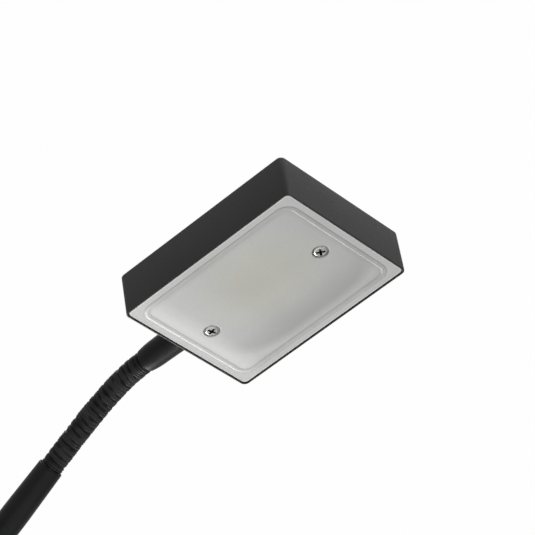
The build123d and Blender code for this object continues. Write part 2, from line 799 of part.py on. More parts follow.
def head_lead():
    """Lead from the neck's last pivot, then two wires round the screw boss to the board."""
    split_x = face_x + jacket_end
    jacket = neck_section(0, lead_r, front_flat=stub_left + head_ferrule_l + jacket_end)
    wires = []
    wire_z = board_front_z - wire_r - seat_gap
    near = -lens_screw_x - boss_r - boss_clear
    far = boss_r - lens_screw_x + boss_past
    for side in (-1, 1):
        inner_y = side * wire_pair
        outer_y = side * wire_side
        pad = (pad_inset - board_l / 2, side * pad_pole, wire_z)
        points = [
            (split_x, inner_y, wire_z), (nut_back_x + nipple_tail, inner_y, wire_z),
            (near, outer_y, wire_z), (far, outer_y, wire_z), pad,
        ]
        wires.append(head_frame * wire(points, wire_r, head_wire_bend_r))
    return group([top_frame * jacket] + wires)


# ---------------------------------------------------------------- build every node
base_parts = {
    "wall_plate": wall_plate, "base_cover": base_cover, "base_cover_screws": base_cover_screws,
    "arm_bush": arm_bush, "arm_lock_nut": arm_lock_nut, "arm_tube": arm_tube, "driver": driver,
    "driver_screws": driver_screws, "terminal_block": terminal_block,
    "terminal_screws": terminal_screws, "driver_leads": driver_leads,
    "cable_grommet": cable_grommet, "cable_clamp": cable_clamp,
    "cable_clamp_screws": cable_clamp_screws, "earth_screw": earth_screw,
    "tube_ferrule": tube_ferrule, "arm_lead": arm_lead, "head_lead": head_lead,
}
head_parts = {
    "head_housing": head_housing, "thermal_pad": thermal_pad, "led_board": led_board,
    "led_chip": led_chip, "led_phosphor": led_phosphor, "led_board_screws": led_board_screws,
    "reflector_tray": reflector_tray, "lens_gasket": lens_gasket, "lens_cover": lens_cover,
    "lens_screws": lens_screws, "head_ferrule": head_ferrule, "head_nipple": head_nipple,
    "head_lock_nut": head_lock_nut,
}

for node, make in base_parts.items():
    save(node, make())
for node, make in head_parts.items():
    save(node, head_frame * make())
for k, shape in enumerate(neck_coils()):
    save("neck_coil_" + str(k), shape)
for k, shape in enumerate(neck_sleeves()):
    save("neck_sleeve_" + str(k), shape)
for k, shape in enumerate(neck_leads(), start=1):
    save("neck_lead_" + str(k), shape)
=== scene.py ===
# %% [markdown]
# # A picture light, finished in Blender
#
# The metalwork, the sizes and the joints of this light come from its CAD model. Blender
# adds what the eye reads: rounded edges, the ribbed sleeve of the gooseneck as one
# flexible skin, screw recesses, and the finish of every surface. The script first loads
# the CAD model as a fixed frame, and measures every place from it, so a change of size in
# the CAD model carries through to here.

# %% Load the frame
import json
from math import atan2, cos, floor, pi, radians, sin, sqrt

import bmesh
import bpy
from mathutils import Matrix, Vector, noise
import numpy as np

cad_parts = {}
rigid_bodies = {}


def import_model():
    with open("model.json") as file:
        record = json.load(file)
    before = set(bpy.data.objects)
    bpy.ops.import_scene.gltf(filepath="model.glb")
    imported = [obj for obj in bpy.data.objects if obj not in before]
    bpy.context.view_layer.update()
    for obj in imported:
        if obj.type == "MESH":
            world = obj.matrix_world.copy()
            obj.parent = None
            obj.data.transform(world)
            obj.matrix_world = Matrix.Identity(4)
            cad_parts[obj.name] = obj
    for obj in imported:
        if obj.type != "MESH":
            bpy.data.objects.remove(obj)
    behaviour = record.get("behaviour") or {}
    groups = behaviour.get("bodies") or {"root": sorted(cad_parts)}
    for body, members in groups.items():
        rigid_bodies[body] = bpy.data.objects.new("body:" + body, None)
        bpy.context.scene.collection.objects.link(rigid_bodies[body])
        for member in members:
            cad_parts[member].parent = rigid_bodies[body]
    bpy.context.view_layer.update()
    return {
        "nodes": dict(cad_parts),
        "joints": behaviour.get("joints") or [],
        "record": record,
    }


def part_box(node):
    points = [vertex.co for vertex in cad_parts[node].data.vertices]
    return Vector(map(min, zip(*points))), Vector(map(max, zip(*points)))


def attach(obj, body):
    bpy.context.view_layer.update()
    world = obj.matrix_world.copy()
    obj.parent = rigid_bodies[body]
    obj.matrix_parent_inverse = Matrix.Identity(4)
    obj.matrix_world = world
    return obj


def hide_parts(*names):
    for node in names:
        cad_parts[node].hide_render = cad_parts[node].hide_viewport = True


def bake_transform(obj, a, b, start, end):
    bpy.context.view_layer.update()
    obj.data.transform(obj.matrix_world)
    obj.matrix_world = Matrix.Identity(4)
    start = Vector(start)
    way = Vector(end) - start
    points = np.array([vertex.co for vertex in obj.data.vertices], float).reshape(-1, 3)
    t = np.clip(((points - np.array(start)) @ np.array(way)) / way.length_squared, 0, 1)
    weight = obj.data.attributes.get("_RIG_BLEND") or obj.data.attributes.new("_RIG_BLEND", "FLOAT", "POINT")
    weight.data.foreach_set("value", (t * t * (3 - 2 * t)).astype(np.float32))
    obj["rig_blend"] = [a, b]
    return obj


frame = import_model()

scene = bpy.context.scene
scene.view_settings.view_transform = "Standard"
MM = 0.001

# %% [markdown]
# The head and the arm are tilted in the XZ plane. A box measured along the room's axes
# would be too big for a tilted part, so each one is measured along its own axes: its
# vertices are turned level, and the lowest and highest are kept. A piece is then built
# level, in those same turned coordinates, and turned back up at the end.
#
# The scene is in metres, but every piece is built in millimetres and shrunk as its last
# step. Blender's mesh tools compare lengths with fixed small limits, and on a part a few
# millimetres across, given in metres, they take real gaps for none.

# %% Tilted frames
ARM_RISE = radians(35.0)
HEAD_RISE = radians(10.5)


def tilt(rise):
    """Turn that lifts the X axis by a slope."""
    return Matrix.Rotation(-rise, 4, "Y")


def level_box(node, rise):
    """Lowest and highest corner of a CAD node in mm, measured along its own tilted axes."""
    level = tilt(rise).inverted()
    points = [level @ v.co / MM for v in frame["nodes"][node].data.vertices]
    low = Vector([min(p[i] for p in points) for i in range(3)])
    high = Vector([max(p[i] for p in points) for i in range(3)])
    return low, high


def upright_box(node):
    """Lowest and highest corner of a CAD node in mm, along the scene's axes."""
    low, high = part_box(node)
    return Vector(low) / MM, Vector(high) / MM


HEAD_UP = tilt(HEAD_RISE)
ARM_UP = tilt(ARM_RISE)
head_low, head_high = level_box("head_housing", HEAD_RISE)
head_mid = (head_low + head_high) / 2
head_size = head_high - head_low
print("head, mm:", [round(s, 1) for s in head_size])

# %% [markdown]
# The camera stands below the head and looks up at its lit side, with a long lens, so the
# box shows three faces and its far edges barely converge. Its place is given from the
# middle of the head, because the head fills the picture.

# %% Camera
EYE_FROM_HEAD = Vector((0.6095, -0.6612, -0.6323))
LOOK = Vector((-0.55212, 0.60181, 0.57705))
LENS_MM = 183.8
SENSOR_MM = 36.0


def aimed(place, direction):
    """Matrix at a place, turned so that a camera or a lamp there looks along a direction."""
    return Matrix.Translation(place) @ direction.to_track_quat("-Z", "Y").to_matrix().to_4x4()


head_middle = HEAD_UP @ head_mid * MM
camera_data = bpy.data.cameras.new("camera")
camera_data.lens = LENS_MM
camera_data.sensor_width = SENSOR_MM
camera = bpy.data.objects.new("camera", camera_data)
camera.matrix_world = aimed(head_middle + EYE_FROM_HEAD, LOOK)
scene.collection.objects.link(camera)
scene.camera = camera
print("camera at", [round(c, 3) for c in camera.location])

# %% [markdown]
# A studio shot of a black object needs a bright surround for its edges to read, but less
# light falling on it than the surround suggests, or black turns grey. The world therefore
# shows white to the eye and gives a softer light to the surfaces.

# %% World
SURROUND = 0.99
FILL = 0.50


def seen_or_lit(tree, seen, lit):
    """Mix that shows one shader to the eye and another to everything else."""
    path = tree.nodes.new("ShaderNodeLightPath")
    pick = tree.nodes.new("ShaderNodeMixShader")
    tree.links.new(path.outputs["Is Camera Ray"], pick.inputs[0])
    tree.links.new(lit.outputs[0], pick.inputs[1])
    tree.links.new(seen.outputs[0], pick.inputs[2])
    return pick.outputs[0]


world = bpy.data.worlds.new("studio")
world.use_nodes = True
scene.world = world
sky = world.node_tree
sky.nodes.clear()
seen = sky.nodes.new("ShaderNodeBackground")
seen.inputs["Color"].default_value = (SURROUND, SURROUND, SURROUND, 1)
light = sky.nodes.new("ShaderNodeBackground")
light.inputs["Color"].default_value = (1.0, 1.0, 1.0, 1)
light.inputs["Strength"].default_value = FILL
sky_out = sky.nodes.new("ShaderNodeOutputWorld")
sky.links.new(seen_or_lit(sky, seen, light), sky_out.inputs[0])
print("surround", SURROUND, "fill", FILL)

# %% [markdown]
# Large area lights add a direction: one lifts the free end, one rakes the underside, one
# comes from above, and a wide weak one from below stands for the light that a table
# throws back. Each is given by its offset from the head, its size and its power.

# %% Lights


def area_light(name, offset, size, watts):
    """Square soft light, aimed at the head from an offset in metres."""
    data = bpy.data.lights.new(name, "AREA")
    data.size = size
    data.energy = watts
    lamp = bpy.data.objects.new(name, data)
    lamp.visible_camera = False
    lamp.matrix_world = aimed(head_middle + offset, -offset)
    scene.collection.objects.link(lamp)


LAMPS = (
    ("end_light", (1.3, 0.1, 0.25), 0.9, 9.0),
    ("under_light", (-0.8, 0.45, -0.6), 0.5, 7.0),
    ("top_light", (-0.2, 0.2, 1.4), 1.2, 10.0),
    ("bounce_light", (0.0, -0.2, -1.3), 2.0, 5.0),
)
for name, offset, size, watts in LAMPS:
    area_light(name, Vector(offset), size, watts)
print("lamps:", len(LAMPS))

# %% [markdown]
# The floor lies far below, so that the lamp can be looked at from underneath too, and it
# is as pale as the world: a horizon would cut the picture in two. It is part of the
# stage, not of the lamp.

# %% Floor
FLOOR_Z = -6.0
FLOOR_REACH = 120.0
floor_mesh = bpy.data.meshes.new("floor")
bm = bmesh.new()
floor_place = Matrix.Translation((0, 0, FLOOR_Z))
bmesh.ops.create_grid(bm, x_segments=1, y_segments=1, size=FLOOR_REACH, matrix=floor_place)
bm.to_mesh(floor_mesh)
bm.free()
floor_object = bpy.data.objects.new("floor", floor_mesh)
scene.collection.objects.link(floor_object)
print("floor at", FLOOR_Z, "m")

# %% [markdown]
# Every finish is a small node tree on a Principled shader. A helper makes the tree and
# wires what nearly all of them share: a little unevenness in the colour and in the
# roughness, and a bump from noise. Values that are the same all over are set straight on
# the shader, because only those survive an export. Noise reads the place on the object in
# metres, so its scale is given per millimetre and divided by one.

# %% Materials and patterns


def material(name, colour, roughness, metallic=0.0):
    """New node material, with its tree and its Principled shader."""
    made = bpy.data.materials.new(name)
    made.use_nodes = True
    tree = made.node_tree
    shader = tree.nodes["Principled BSDF"]
    shader.inputs["Base Color"].default_value = (*colour, 1)
    shader.inputs["Roughness"].default_value = roughness
    shader.inputs["Metallic"].default_value = metallic
    return made, tree, shader


def object_place(tree):
    """Output with the surface's own place, in metres."""
    return tree.nodes.new("ShaderNodeTexCoord").outputs["Object"]


def grain(tree, per_mm, detail=3.0, stretch=(1, 1, 1), place=None):
    """Noise of so many cycles a millimetre, which may be stretched along an axis."""
    mapping = tree.nodes.new("ShaderNodeMapping")
    mapping.inputs["Scale"].default_value = stretch
    speckle = tree.nodes.new("ShaderNodeTexNoise")
    speckle.inputs["Scale"].default_value = per_mm / MM
    speckle.inputs["Detail"].default_value = detail
    tree.links.new(place or object_place(tree), mapping.inputs["Vector"])
    tree.links.new(mapping.outputs[0], speckle.inputs["Vector"])
    return speckle.outputs["Fac"]


def spread(tree, source, low, high, low_in=0.35, high_in=0.65):
    """Rescales a 0 to 1 pattern to a range of values."""
    remap = tree.nodes.new("ShaderNodeMapRange")
    remap.inputs["From Min"].default_value = low_in
    remap.inputs["From Max"].default_value = high_in
    remap.inputs["To Min"].default_value = low
    remap.inputs["To Max"].default_value = high
    tree.links.new(source, remap.inputs["Value"])
    return remap.outputs["Result"]


print("made helpers for a material and its patterns")

# %% [markdown]
# A pattern then drives the colour, the roughness or the relief of a shader. One helper
# for colour ramps serves both a slight tint and a long run of tones.

# %% Colour, roughness and relief


def scaled(colour, factor):
    """Lighter or darker colour."""
    return tuple(c * factor for c in colour)


def colour_run(tree, source, stops):
    """Colours at places from 0 to 1 of a pattern, from (place, colour) pairs."""
    run = tree.nodes.new("ShaderNodeValToRGB")
    elements = run.color_ramp.elements
    elements[0].position = stops[0][0]
    elements[-1].position = stops[-1][0]
    for stop in stops[1:-1]:
        elements.new(stop[0])
    for element, (_, colour) in zip(elements, stops):
        element.color = (*colour, 1)
    tree.links.new(source, run.inputs["Fac"])
    return run.outputs["Color"]


def tint(tree, shader, source, dark, pale, low_in=0.3, high_in=0.7):
    """Base colour that runs between two colours with a pattern."""
    run = colour_run(tree, source, ((low_in, dark), (high_in, pale)))
    tree.links.new(run, shader.inputs["Base Color"])


def roughen(tree, shader, source, low, high):
    """Roughness that runs between two values with a pattern."""
    tree.links.new(spread(tree, source, low, high), shader.inputs["Roughness"])


def bump(tree, shader, source, height_mm, strength=0.6):
    """Relief from a pattern, of a real height."""
    relief = tree.nodes.new("ShaderNodeBump")
    relief.inputs["Strength"].default_value = strength
    relief.inputs["Distance"].default_value = height_mm * MM
    tree.links.new(source, relief.inputs["Height"])
    tree.links.new(relief.outputs["Normal"], shader.inputs["Normal"])


print("made helpers for colour, roughness and relief")

# %% [markdown]
# Fine textured powder coat has beads about a third of a millimetre across. They are too
# small to model, but they break up the reflection, so they are a bump plus a matching
# spread in roughness. A much larger, weaker noise keeps a big flat side from looking
# computed. A satin coat is the same with a finer, lower grain.

# %% Black coats
COAT_BLACK = (0.012, 0.012, 0.0123)
BEADS_PER_MM = 2.2
BEAD_HEIGHT = 0.035
BEAD_ROUGHNESS = (0.42, 0.6)
PATCHES_PER_MM = 0.03
PEEL_PER_MM = 0.5
PEEL_HEIGHT = 0.02
PEEL_STRENGTH = 0.4
CLOUDS_PER_MM = 0.08
SATIN_SHINE = 0.22


def textured_coat(name):
    """Matt black powder coat with a fine bead."""
    made, tree, shader = material(name, COAT_BLACK, 0.5)
    beads = grain(tree, BEADS_PER_MM, detail=2.0)
    patches = grain(tree, PATCHES_PER_MM, detail=2.0)
    tint(tree, shader, patches, scaled(COAT_BLACK, 0.85), scaled(COAT_BLACK, 1.25))
    roughen(tree, shader, beads, *BEAD_ROUGHNESS)
    bump(tree, shader, beads, BEAD_HEIGHT)
    return made


def satin_coat(name, base, roughness=0.34):
    """Smooth black paint or moulding with a faint orange peel."""
    made, tree, shader = material(name, base, roughness)
    shader.inputs["Specular IOR Level"].default_value = SATIN_SHINE
    peel = grain(tree, PEEL_PER_MM, detail=2.0)
    tint(tree, shader, grain(tree, CLOUDS_PER_MM), base, scaled(base, 1.3))
    roughen(tree, shader, peel, roughness - 0.04, roughness + 0.07)
    bump(tree, shader, peel, PEEL_HEIGHT, PEEL_STRENGTH)
    return made


COATED_STEEL = textured_coat("black_texture_coat")
COATED_CASTING = textured_coat("black_cast_coat")
SATIN_BLACK = satin_coat("black_satin_coat", (0.008, 0.008, 0.0085))
MOULDED_BLACK = satin_coat("black_moulding", (0.007, 0.007, 0.0075), 0.4)
print("coats:", COATED_STEEL.name, COATED_CASTING.name, SATIN_BLACK.name, MOULDED_BLACK.name)

# %% [markdown]
# The sleeve is a soft tube shrunk over a steel coil. It is almost black, with a dull
# sheen on its crests and fine creases that run round it. The creases are a noise squeezed
# along the neck. They have to follow it wherever it bends, so the noise doesn't read the
# place in the room: each point of the sleeve will carry an attribute with the place that
# it would have if the neck were straight, and the noise reads that. A second attribute
# says how high a point stands: the grooves are painted darker as shade, and the crests
# lighter as a painted sheen.

# %% Sleeve finish
STRAIGHT = "straight"
CREST = "crest"
SLEEVE_BLACK = (0.01, 0.01, 0.0105)
SLEEVE_SHINE = 0.2
# Painted shade in the grooves and a painted sheen on the crests.
GROOVE_PAINTED_SHADE = (0.0008, 0.0008, 0.0009)
CREST_PAINTED_SHEEN = (0.042, 0.042, 0.043)
CREST_FROM = 0.35
CREST_FULL = 1.0
CREASES_PER_MM = 1.1
CREASE_SQUEEZE = (1.5, 0.2, 0.2)
CREASE_HEIGHT = 0.08
CREASE_STRENGTH = 0.8
CREASE_ROUGHNESS = (0.36, 0.6)


def attribute(tree, name):
    """Node that reads a value that each point of a piece carries."""
    node = tree.nodes.new("ShaderNodeAttribute")
    node.attribute_name = name
    return node


def sleeve_finish(name):
    """Matt black shrunk tube with fine creases round it, painted darker in its grooves and lighter on its
    crests.
    """
    made, tree, shader = material(name, SLEEVE_BLACK, 0.5)
    shader.inputs["Specular IOR Level"].default_value = SLEEVE_SHINE
    straight = attribute(tree, STRAIGHT).outputs["Vector"]
    creases = grain(tree, CREASES_PER_MM, stretch=CREASE_SQUEEZE, place=straight)
    crest = attribute(tree, CREST).outputs["Fac"]
    # Painted shade in the grooves and a painted sheen on the crests, by how high a point stands.
    tint(tree, shader, crest, GROOVE_PAINTED_SHADE, CREST_PAINTED_SHEEN, CREST_FROM, CREST_FULL)
    roughen(tree, shader, creases, *CREASE_ROUGHNESS)
    bump(tree, shader, creases, CREASE_HEIGHT, CREASE_STRENGTH)
    return made


SLEEVE = sleeve_finish("neck_sleeve")
print("sleeve finish:", SLEEVE.name, "with", CREASES_PER_MM, "creases a mm")

# %% [markdown]
# The cover is a frosted plastic moulding. Light passes through it but is scattered, so
# what lies behind shows only as soft shade: white tray walls near the bead, and a warm,
# slightly darker middle where the yellow light source sits. A glass shader with a real
# blur would need many samples for that. The cover is therefore mostly diffuse, with a
# little real transmission, and that shade and its highlights are painted into its colour,
# multiplied together from soft patterns: a tone that depends on how far a point lies in
# from the cover's edge, which each point will carry as an attribute and which paints shade
# in the gap at the edge and highlights on the rounded edge and on the bead, runs along
# and across the head, which paint light and shade over the field, and two round glows,
# which paint the warm middle.

# %% Cover tones: painted shade and highlights
INSET = "inset"
INSET_REACH = 8.0
# Painted shade in the gap at the cover's edge, a painted highlight on its rounded edge, a painted highlight
# on the bead's crest and painted shade at its feet.
INSET_PAINTED_SHADES = (
    (0.0, 0.15), (0.2, 1.0), (0.55, 1.0), (0.9, 0.80), (2.8, 0.80), (3.2, 0.56), (3.7, 0.88),
    (4.4, 0.80), (5.0, 0.86), (5.4, 0.70), (5.9, 0.88), (8.0, 0.94),
)
# Painted light and shade along the head: lighter towards the -X end, darker towards +X.
ALONG_PAINTED_SHADES = (
    (-45.0, 1.0), (-37.0, 1.0), (-33.0, 0.88), (-28.0, 0.77), (-10.0, 0.72), (10.0, 0.72),
    (27.0, 0.69), (38.0, 0.65), (41.0, 0.63), (45.0, 0.60),
)
# Painted shade across the head: darker towards +Y, over the tray's floor.
ACROSS_PAINTED_SHADES = (
    (-35.5, 1.0), (-10.0, 1.0), (5.0, 0.98), (12.0, 0.92), (18.0, 0.82), (25.0, 0.72),
    (35.5, 0.70),
)
TRAY_FLOOR = (38.0, 27.5, 30.0)
TRAY_OFFSET = 4.0
TRAY_WALL_FROM = 0.6
TRAY_WALL_TO = 1.15
FROST_WHITE = (0.8, 0.8, 0.79)
FROST_PER_MM = 1.6
FROST_ROUGHNESS = (0.32, 0.44)
FROST_HEIGHT = 0.012
FROST_STRENGTH = 0.35
LIGHT_THROUGH = 0.12
PLASTIC_IOR = 1.45
TONE_TINT = (0.99, 1, 0.985)
FLANGE_SHARE = 0.45
FIELD_STARTS = 2.9
FIELD_FULL = 4.2
WHITE = (1, 1, 1)
# The glows paint the warm, slightly darker middle where the yellow light source shows through the cover.
GLOWS = (
    ((5.0, -7.0), (36, 30, 36), ((0.0, WHITE), (0.7, (0.96, 0.95, 0.875)))),
    ((1.0, -6.0), (15, 13, 15), ((0.0, WHITE), (0.9, (0.98, 0.965, 0.95)))),
)
CLOUDS = (
    (0.035, ((0.3, (0.95, 0.95, 0.95)), (0.7, WHITE))),
    (0.8, ((0.3, (0.965, 0.96, 0.96)), (0.7, WHITE))),
)
print("cover tones:", len(INSET_PAINTED_SHADES), len(ALONG_PAINTED_SHADES), len(ACROSS_PAINTED_SHADES))

# %% [markdown]
# The runs and glows are given in the head's own tilted axes, in millimetres. The run
# across only shows over the tray's floor, whose mask is a rounded rectangle: it is where
# the fourth powers of the two places add up to less than one.

# %% Patterns in the head's axes


def multiplied(tree, first, second, where=None):
    """Two colours multiplied, everywhere or as far as a mask lets the second through."""
    mix = tree.nodes.new("ShaderNodeMix")
    mix.data_type = "RGBA"
    mix.blend_type = "MULTIPLY"
    mix.inputs[0].default_value = 1.0
    if where:
        tree.links.new(where, mix.inputs[0])
    tree.links.new(first, mix.inputs[6])
    tree.links.new(second, mix.inputs[7])
    return mix.outputs[2]


def head_place(tree, centre, reach):
    """Place in the head's own tilted axes, divided by a reach: both are in mm."""
    mapping = tree.nodes.new("ShaderNodeMapping")
    mapping.vector_type = "TEXTURE"
    mapping.inputs["Location"].default_value = HEAD_UP @ Vector(centre) * MM
    mapping.inputs["Rotation"].default_value = (0, -HEAD_RISE, 0)
    mapping.inputs["Scale"].default_value = Vector(reach) * MM
    tree.links.new(object_place(tree), mapping.inputs["Vector"])
    return mapping.outputs[0]


def head_glow(tree, centre, reach):
    """Round gradient from 1 at a centre to 0 at a reach, in the head's own tilted axes."""
    gradient = tree.nodes.new("ShaderNodeTexGradient")
    gradient.gradient_type = "SPHERICAL"
    tree.links.new(head_place(tree, centre, reach), gradient.inputs["Vector"])
    return gradient.outputs["Fac"]


def head_run(tree, tones, axis):
    """Grey tones at places in mm along an axis of the head, measured from its middle."""
    first = tones[0][0]
    length = tones[-1][0] - first
    start = Vector((head_mid.x, head_mid.y, head_low.z))
    start[axis] += first
    place = tree.nodes.new("ShaderNodeSeparateXYZ")
    tree.links.new(head_place(tree, start, (length, length, length)), place.inputs[0])
    stops = [((at - first) / length, (tone, tone, tone)) for at, tone in tones]
    return colour_run(tree, place.outputs[axis], stops)


def tray_mask(tree):
    """1 over the tray's floor, falling to 0 over its rounded walls."""
    centre = (head_mid.x + TRAY_OFFSET, head_mid.y, head_low.z)
    value = head_place(tree, centre, TRAY_FLOOR)
    for _ in range(2):
        square = tree.nodes.new("ShaderNodeVectorMath")
        square.operation = "MULTIPLY"
        tree.links.new(value, square.inputs[0])
        tree.links.new(value, square.inputs[1])
        value = square.outputs[0]
    total = tree.nodes.new("ShaderNodeVectorMath")
    total.operation = "DOT_PRODUCT"
    total.inputs[1].default_value = (1, 1, 0)
    tree.links.new(value, total.inputs[0])
    return spread(tree, total.outputs["Value"], 1.0, 0.0, TRAY_WALL_FROM, TRAY_WALL_TO)


print("made helpers for runs, glows and the tray's mask")

# %% [markdown]
# The finish multiplies those painted shades and highlights into a frosted surface's
# colour one after another. Two faint noises, one broad and one fine, come last.

# %% Frosted cover finish


def frosted_finish(name):
    """Translucent white plastic with a matt surface, and painted shade and highlights in its colour."""
    made, tree, shader = material(name, FROST_WHITE, 0.36)
    shader.inputs["Transmission Weight"].default_value = LIGHT_THROUGH
    shader.inputs["IOR"].default_value = PLASTIC_IOR
    frost = grain(tree, FROST_PER_MM)
    roughen(tree, shader, frost, *FROST_ROUGHNESS)
    bump(tree, shader, frost, FROST_HEIGHT, FROST_STRENGTH)
    inset = attribute(tree, INSET).outputs["Fac"]
    tones = [(place / INSET_REACH, scaled(TONE_TINT, tone)) for place, tone in INSET_PAINTED_SHADES]
    shade = colour_run(tree, inset, tones)
    in_field = spread(
        tree, inset, FLANGE_SHARE, 1.0, FIELD_STARTS / INSET_REACH, FIELD_FULL / INSET_REACH)
    shade = multiplied(tree, shade, head_run(tree, ALONG_PAINTED_SHADES, 0), in_field)
    shade = multiplied(tree, shade, head_run(tree, ACROSS_PAINTED_SHADES, 1), tray_mask(tree))
    for offset, reach, stops in GLOWS:
        centre = (head_mid.x + offset[0], head_mid.y + offset[1], head_low.z)
        glow = colour_run(tree, head_glow(tree, centre, reach), stops)
        shade = multiplied(tree, shade, glow)
    for per_mm, stops in CLOUDS:
        cloud = colour_run(tree, grain(tree, per_mm, detail=2.0), stops)
        shade = multiplied(tree, shade, cloud)
    tree.links.new(shade, shader.inputs["Base Color"])
    return made


FROSTED = frosted_finish("frosted_cover")
print("cover finish:", FROSTED.name, "with", len(GLOWS), "glows and", len(CLOUDS), "clouds")

# %% [markdown]
# The bright small parts are bare metals: zinc plate, plain steel screws, nickel on
# brass. A turned or drawn metal carries fine lines, so its roughness follows a noise that
# is stretched along one axis. A screw's cross is painted dark as shade, so a point can
# carry an attribute that says how sunk it is. Plastics and rubber need a soft grain only.

# %% Metals and inner finishes
SUNK = "sunk"
RECESS_SHADE = (0.03, 0.028, 0.025)
LINES_PER_MM = 2.5
LINE_HEIGHT = 0.01
SOFT_PER_MM = 0.9
SOFT_HEIGHT = 0.015
FAINT = 0.3


def drawn_metal(name, colour, roughness, along=(0.15, 1.0, 1.0)):
    """Plated or drawn metal with fine lines along one axis, painted dark in its recesses as shade."""
    made, tree, shader = material(name, colour, roughness, metallic=1.0)
    lines = grain(tree, LINES_PER_MM, stretch=along)
    metal = colour_run(tree, lines, ((0.3, scaled(colour, 0.82)), (0.7, colour)))
    # Painted shade in the recesses, by how sunk a point is.
    sunk = attribute(tree, SUNK).outputs["Fac"]
    painted_shade = colour_run(tree, sunk, ((0.0, WHITE), (1.0, RECESS_SHADE)))
    tree.links.new(multiplied(tree, metal, painted_shade), shader.inputs["Base Color"])
    roughen(tree, shader, lines, roughness - 0.07, roughness + 0.1)
    bump(tree, shader, lines, LINE_HEIGHT, FAINT)
    return made


def moulded(name, colour, roughness):
    """Plain moulding, rubber or ceramic with a soft grain."""
    made, tree, shader = material(name, colour, roughness)
    soft = grain(tree, SOFT_PER_MM, detail=2.0)
    tint(tree, shader, soft, scaled(colour, 0.93), colour)
    roughen(tree, shader, soft, roughness - 0.05, roughness + 0.06)
    bump(tree, shader, soft, SOFT_HEIGHT, FAINT)
    return made


FINISHES = {
    "black_texture_coat": COATED_STEEL,
    "black_cast_coat": COATED_CASTING,
    "black_satin_coat": SATIN_BLACK,
    "black_moulding": MOULDED_BLACK,
    "neck_sleeve": SLEEVE,
    "frosted_cover": FROSTED,
    "black_screw": satin_coat("black_screw", (0.02, 0.02, 0.02), 0.36),
}
METALS = (
    ("coil_steel", (0.45, 0.45, 0.45), 0.35),
    ("zinc_steel", (0.58, 0.6, 0.63), 0.33),
    ("screw_steel", (0.72, 0.71, 0.7), 0.27, (1.0, 1.0, 0.3)),
    ("nickel_brass", (0.62, 0.58, 0.48), 0.3),
)
SOFT_FINISHES = (
    ("lead_jacket", (0.03, 0.03, 0.03), 0.55),
    ("white_case", (0.74, 0.74, 0.72), 0.48),
    ("black_rubber", (0.025, 0.025, 0.025), 0.7),
    ("grey_pad", (0.4, 0.45, 0.5), 0.65),
    ("board_aluminium", (0.8, 0.8, 0.78), 0.4),
    ("chip_ceramic", (0.85, 0.85, 0.83), 0.35),
    ("phosphor", (0.9, 0.62, 0.14), 0.3),
    ("white_reflector", (0.85, 0.85, 0.84), 0.35),
)
FINISHES.update({row[0]: drawn_metal(*row) for row in METALS})
FINISHES.update({row[0]: moulded(*row) for row in SOFT_FINISHES})
node_slot = {row["node"]: row["material_slot"] for row in frame["record"]["subparts"]}
for node, cad_object in frame["nodes"].items():
    cad_object.data.materials.clear()
    cad_object.data.materials.append(FINISHES[node_slot[node]])
print("finishes:", len(FINISHES), "on", len(node_slot), "CAD nodes")

# %% [markdown]
# A few helpers build every piece. `finish` turns a bmesh into an object: it welds the
# points that meet, shades it smooth between sharp edges, hides the CAD nodes that the
# piece stands for, and puts it on the body that it rides on.

# %% From a bmesh to a piece
SMOOTH_UNDER = radians(35)
WELD = 0.002
LARGE_CIRCLE = 64
SMALL_CIRCLE = 48
TO_METRES = Matrix.Diagonal((MM, MM, MM, 1))


def finish(bm, name, body, slot, nodes, place=Matrix()):
    """Object from a bmesh in mm: welded, in its place and in metres, and on its body."""
    bmesh.ops.remove_doubles(bm, verts=bm.verts, dist=WELD)
    bmesh.ops.recalc_face_normals(bm, faces=bm.faces)
    volume = bm.calc_volume(signed=True)
    open_edges = sum(1 for e in bm.edges if not (e.is_manifold and e.is_contiguous))
    bmesh.ops.transform(bm, matrix=TO_METRES @ place, verts=bm.verts)
    mesh = bpy.data.meshes.new(name)
    bm.to_mesh(mesh)
    bm.free()
    mesh.shade_smooth()
    mesh.set_sharp_from_angle(angle=SMOOTH_UNDER)
    mesh.materials.append(FINISHES[slot])
    piece = bpy.data.objects.new(name, mesh)
    scene.collection.objects.link(piece)
    if nodes:
        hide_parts(*nodes)
    if body:
        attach(piece, body)
    print(name, len(mesh.polygons), "faces", round(volume), "mm3", open_edges, "open edges")
    return piece


print("pieces are welded within", WELD, "mm")

# %% [markdown]
# `turned` spins an outline, as a lathe would, after rounding its chosen corners. A bevel
# on the outline's own corners is exact, and cheaper than one on the finished solid.

# %% Turned shapes


def rounded(bm, corners, radius, segments):
    """Rounds corners of an outline or a face, and gives back the new points."""
    made = bmesh.ops.bevel(
        bm, geom=corners, offset=radius, offset_type="OFFSET", segments=segments, profile=0.5,
        affect="VERTICES", material=-1)
    return made["verts"]


def turned(bm, outline, rounds=(), centre=(0, 0), steps=72):
    """Solid of revolution about a line along X, from (x, radius) points.

    rounds holds (index, radius) pairs for the corners that are rounded.
    """
    y, z = centre
    corners = [bm.verts.new((x, y, z + r)) for x, r in outline]
    edges = [bm.edges.new((corners[i - 1], corners[i])) for i in range(len(corners))]
    profile = set(corners)
    for index, radius in rounds:
        profile.update(rounded(bm, [corners[index]], radius, 5))
    loop = set()
    for v in [v for v in profile if v.is_valid]:
        loop.update(v.link_edges)
    bmesh.ops.spin(
        bm, geom=list(loop | {v for e in loop for v in e.verts}), cent=(0, y, z), axis=(1, 0, 0),
        angle=2 * pi, steps=steps, use_merge=True, use_duplicate=False)


print("made helpers for turned shapes")

# %% [markdown]
# `ring` makes one closed loop of edges with rounded corners, and `skin` bridges a stack
# of such loops into a wall: that is how the boxes, the cover and the tubes are made. A
# cube with bevels would be quicker for a plain box, but here the lip, the rebate and the
# bead all have corners of their own radius.

# %% Loops and walls


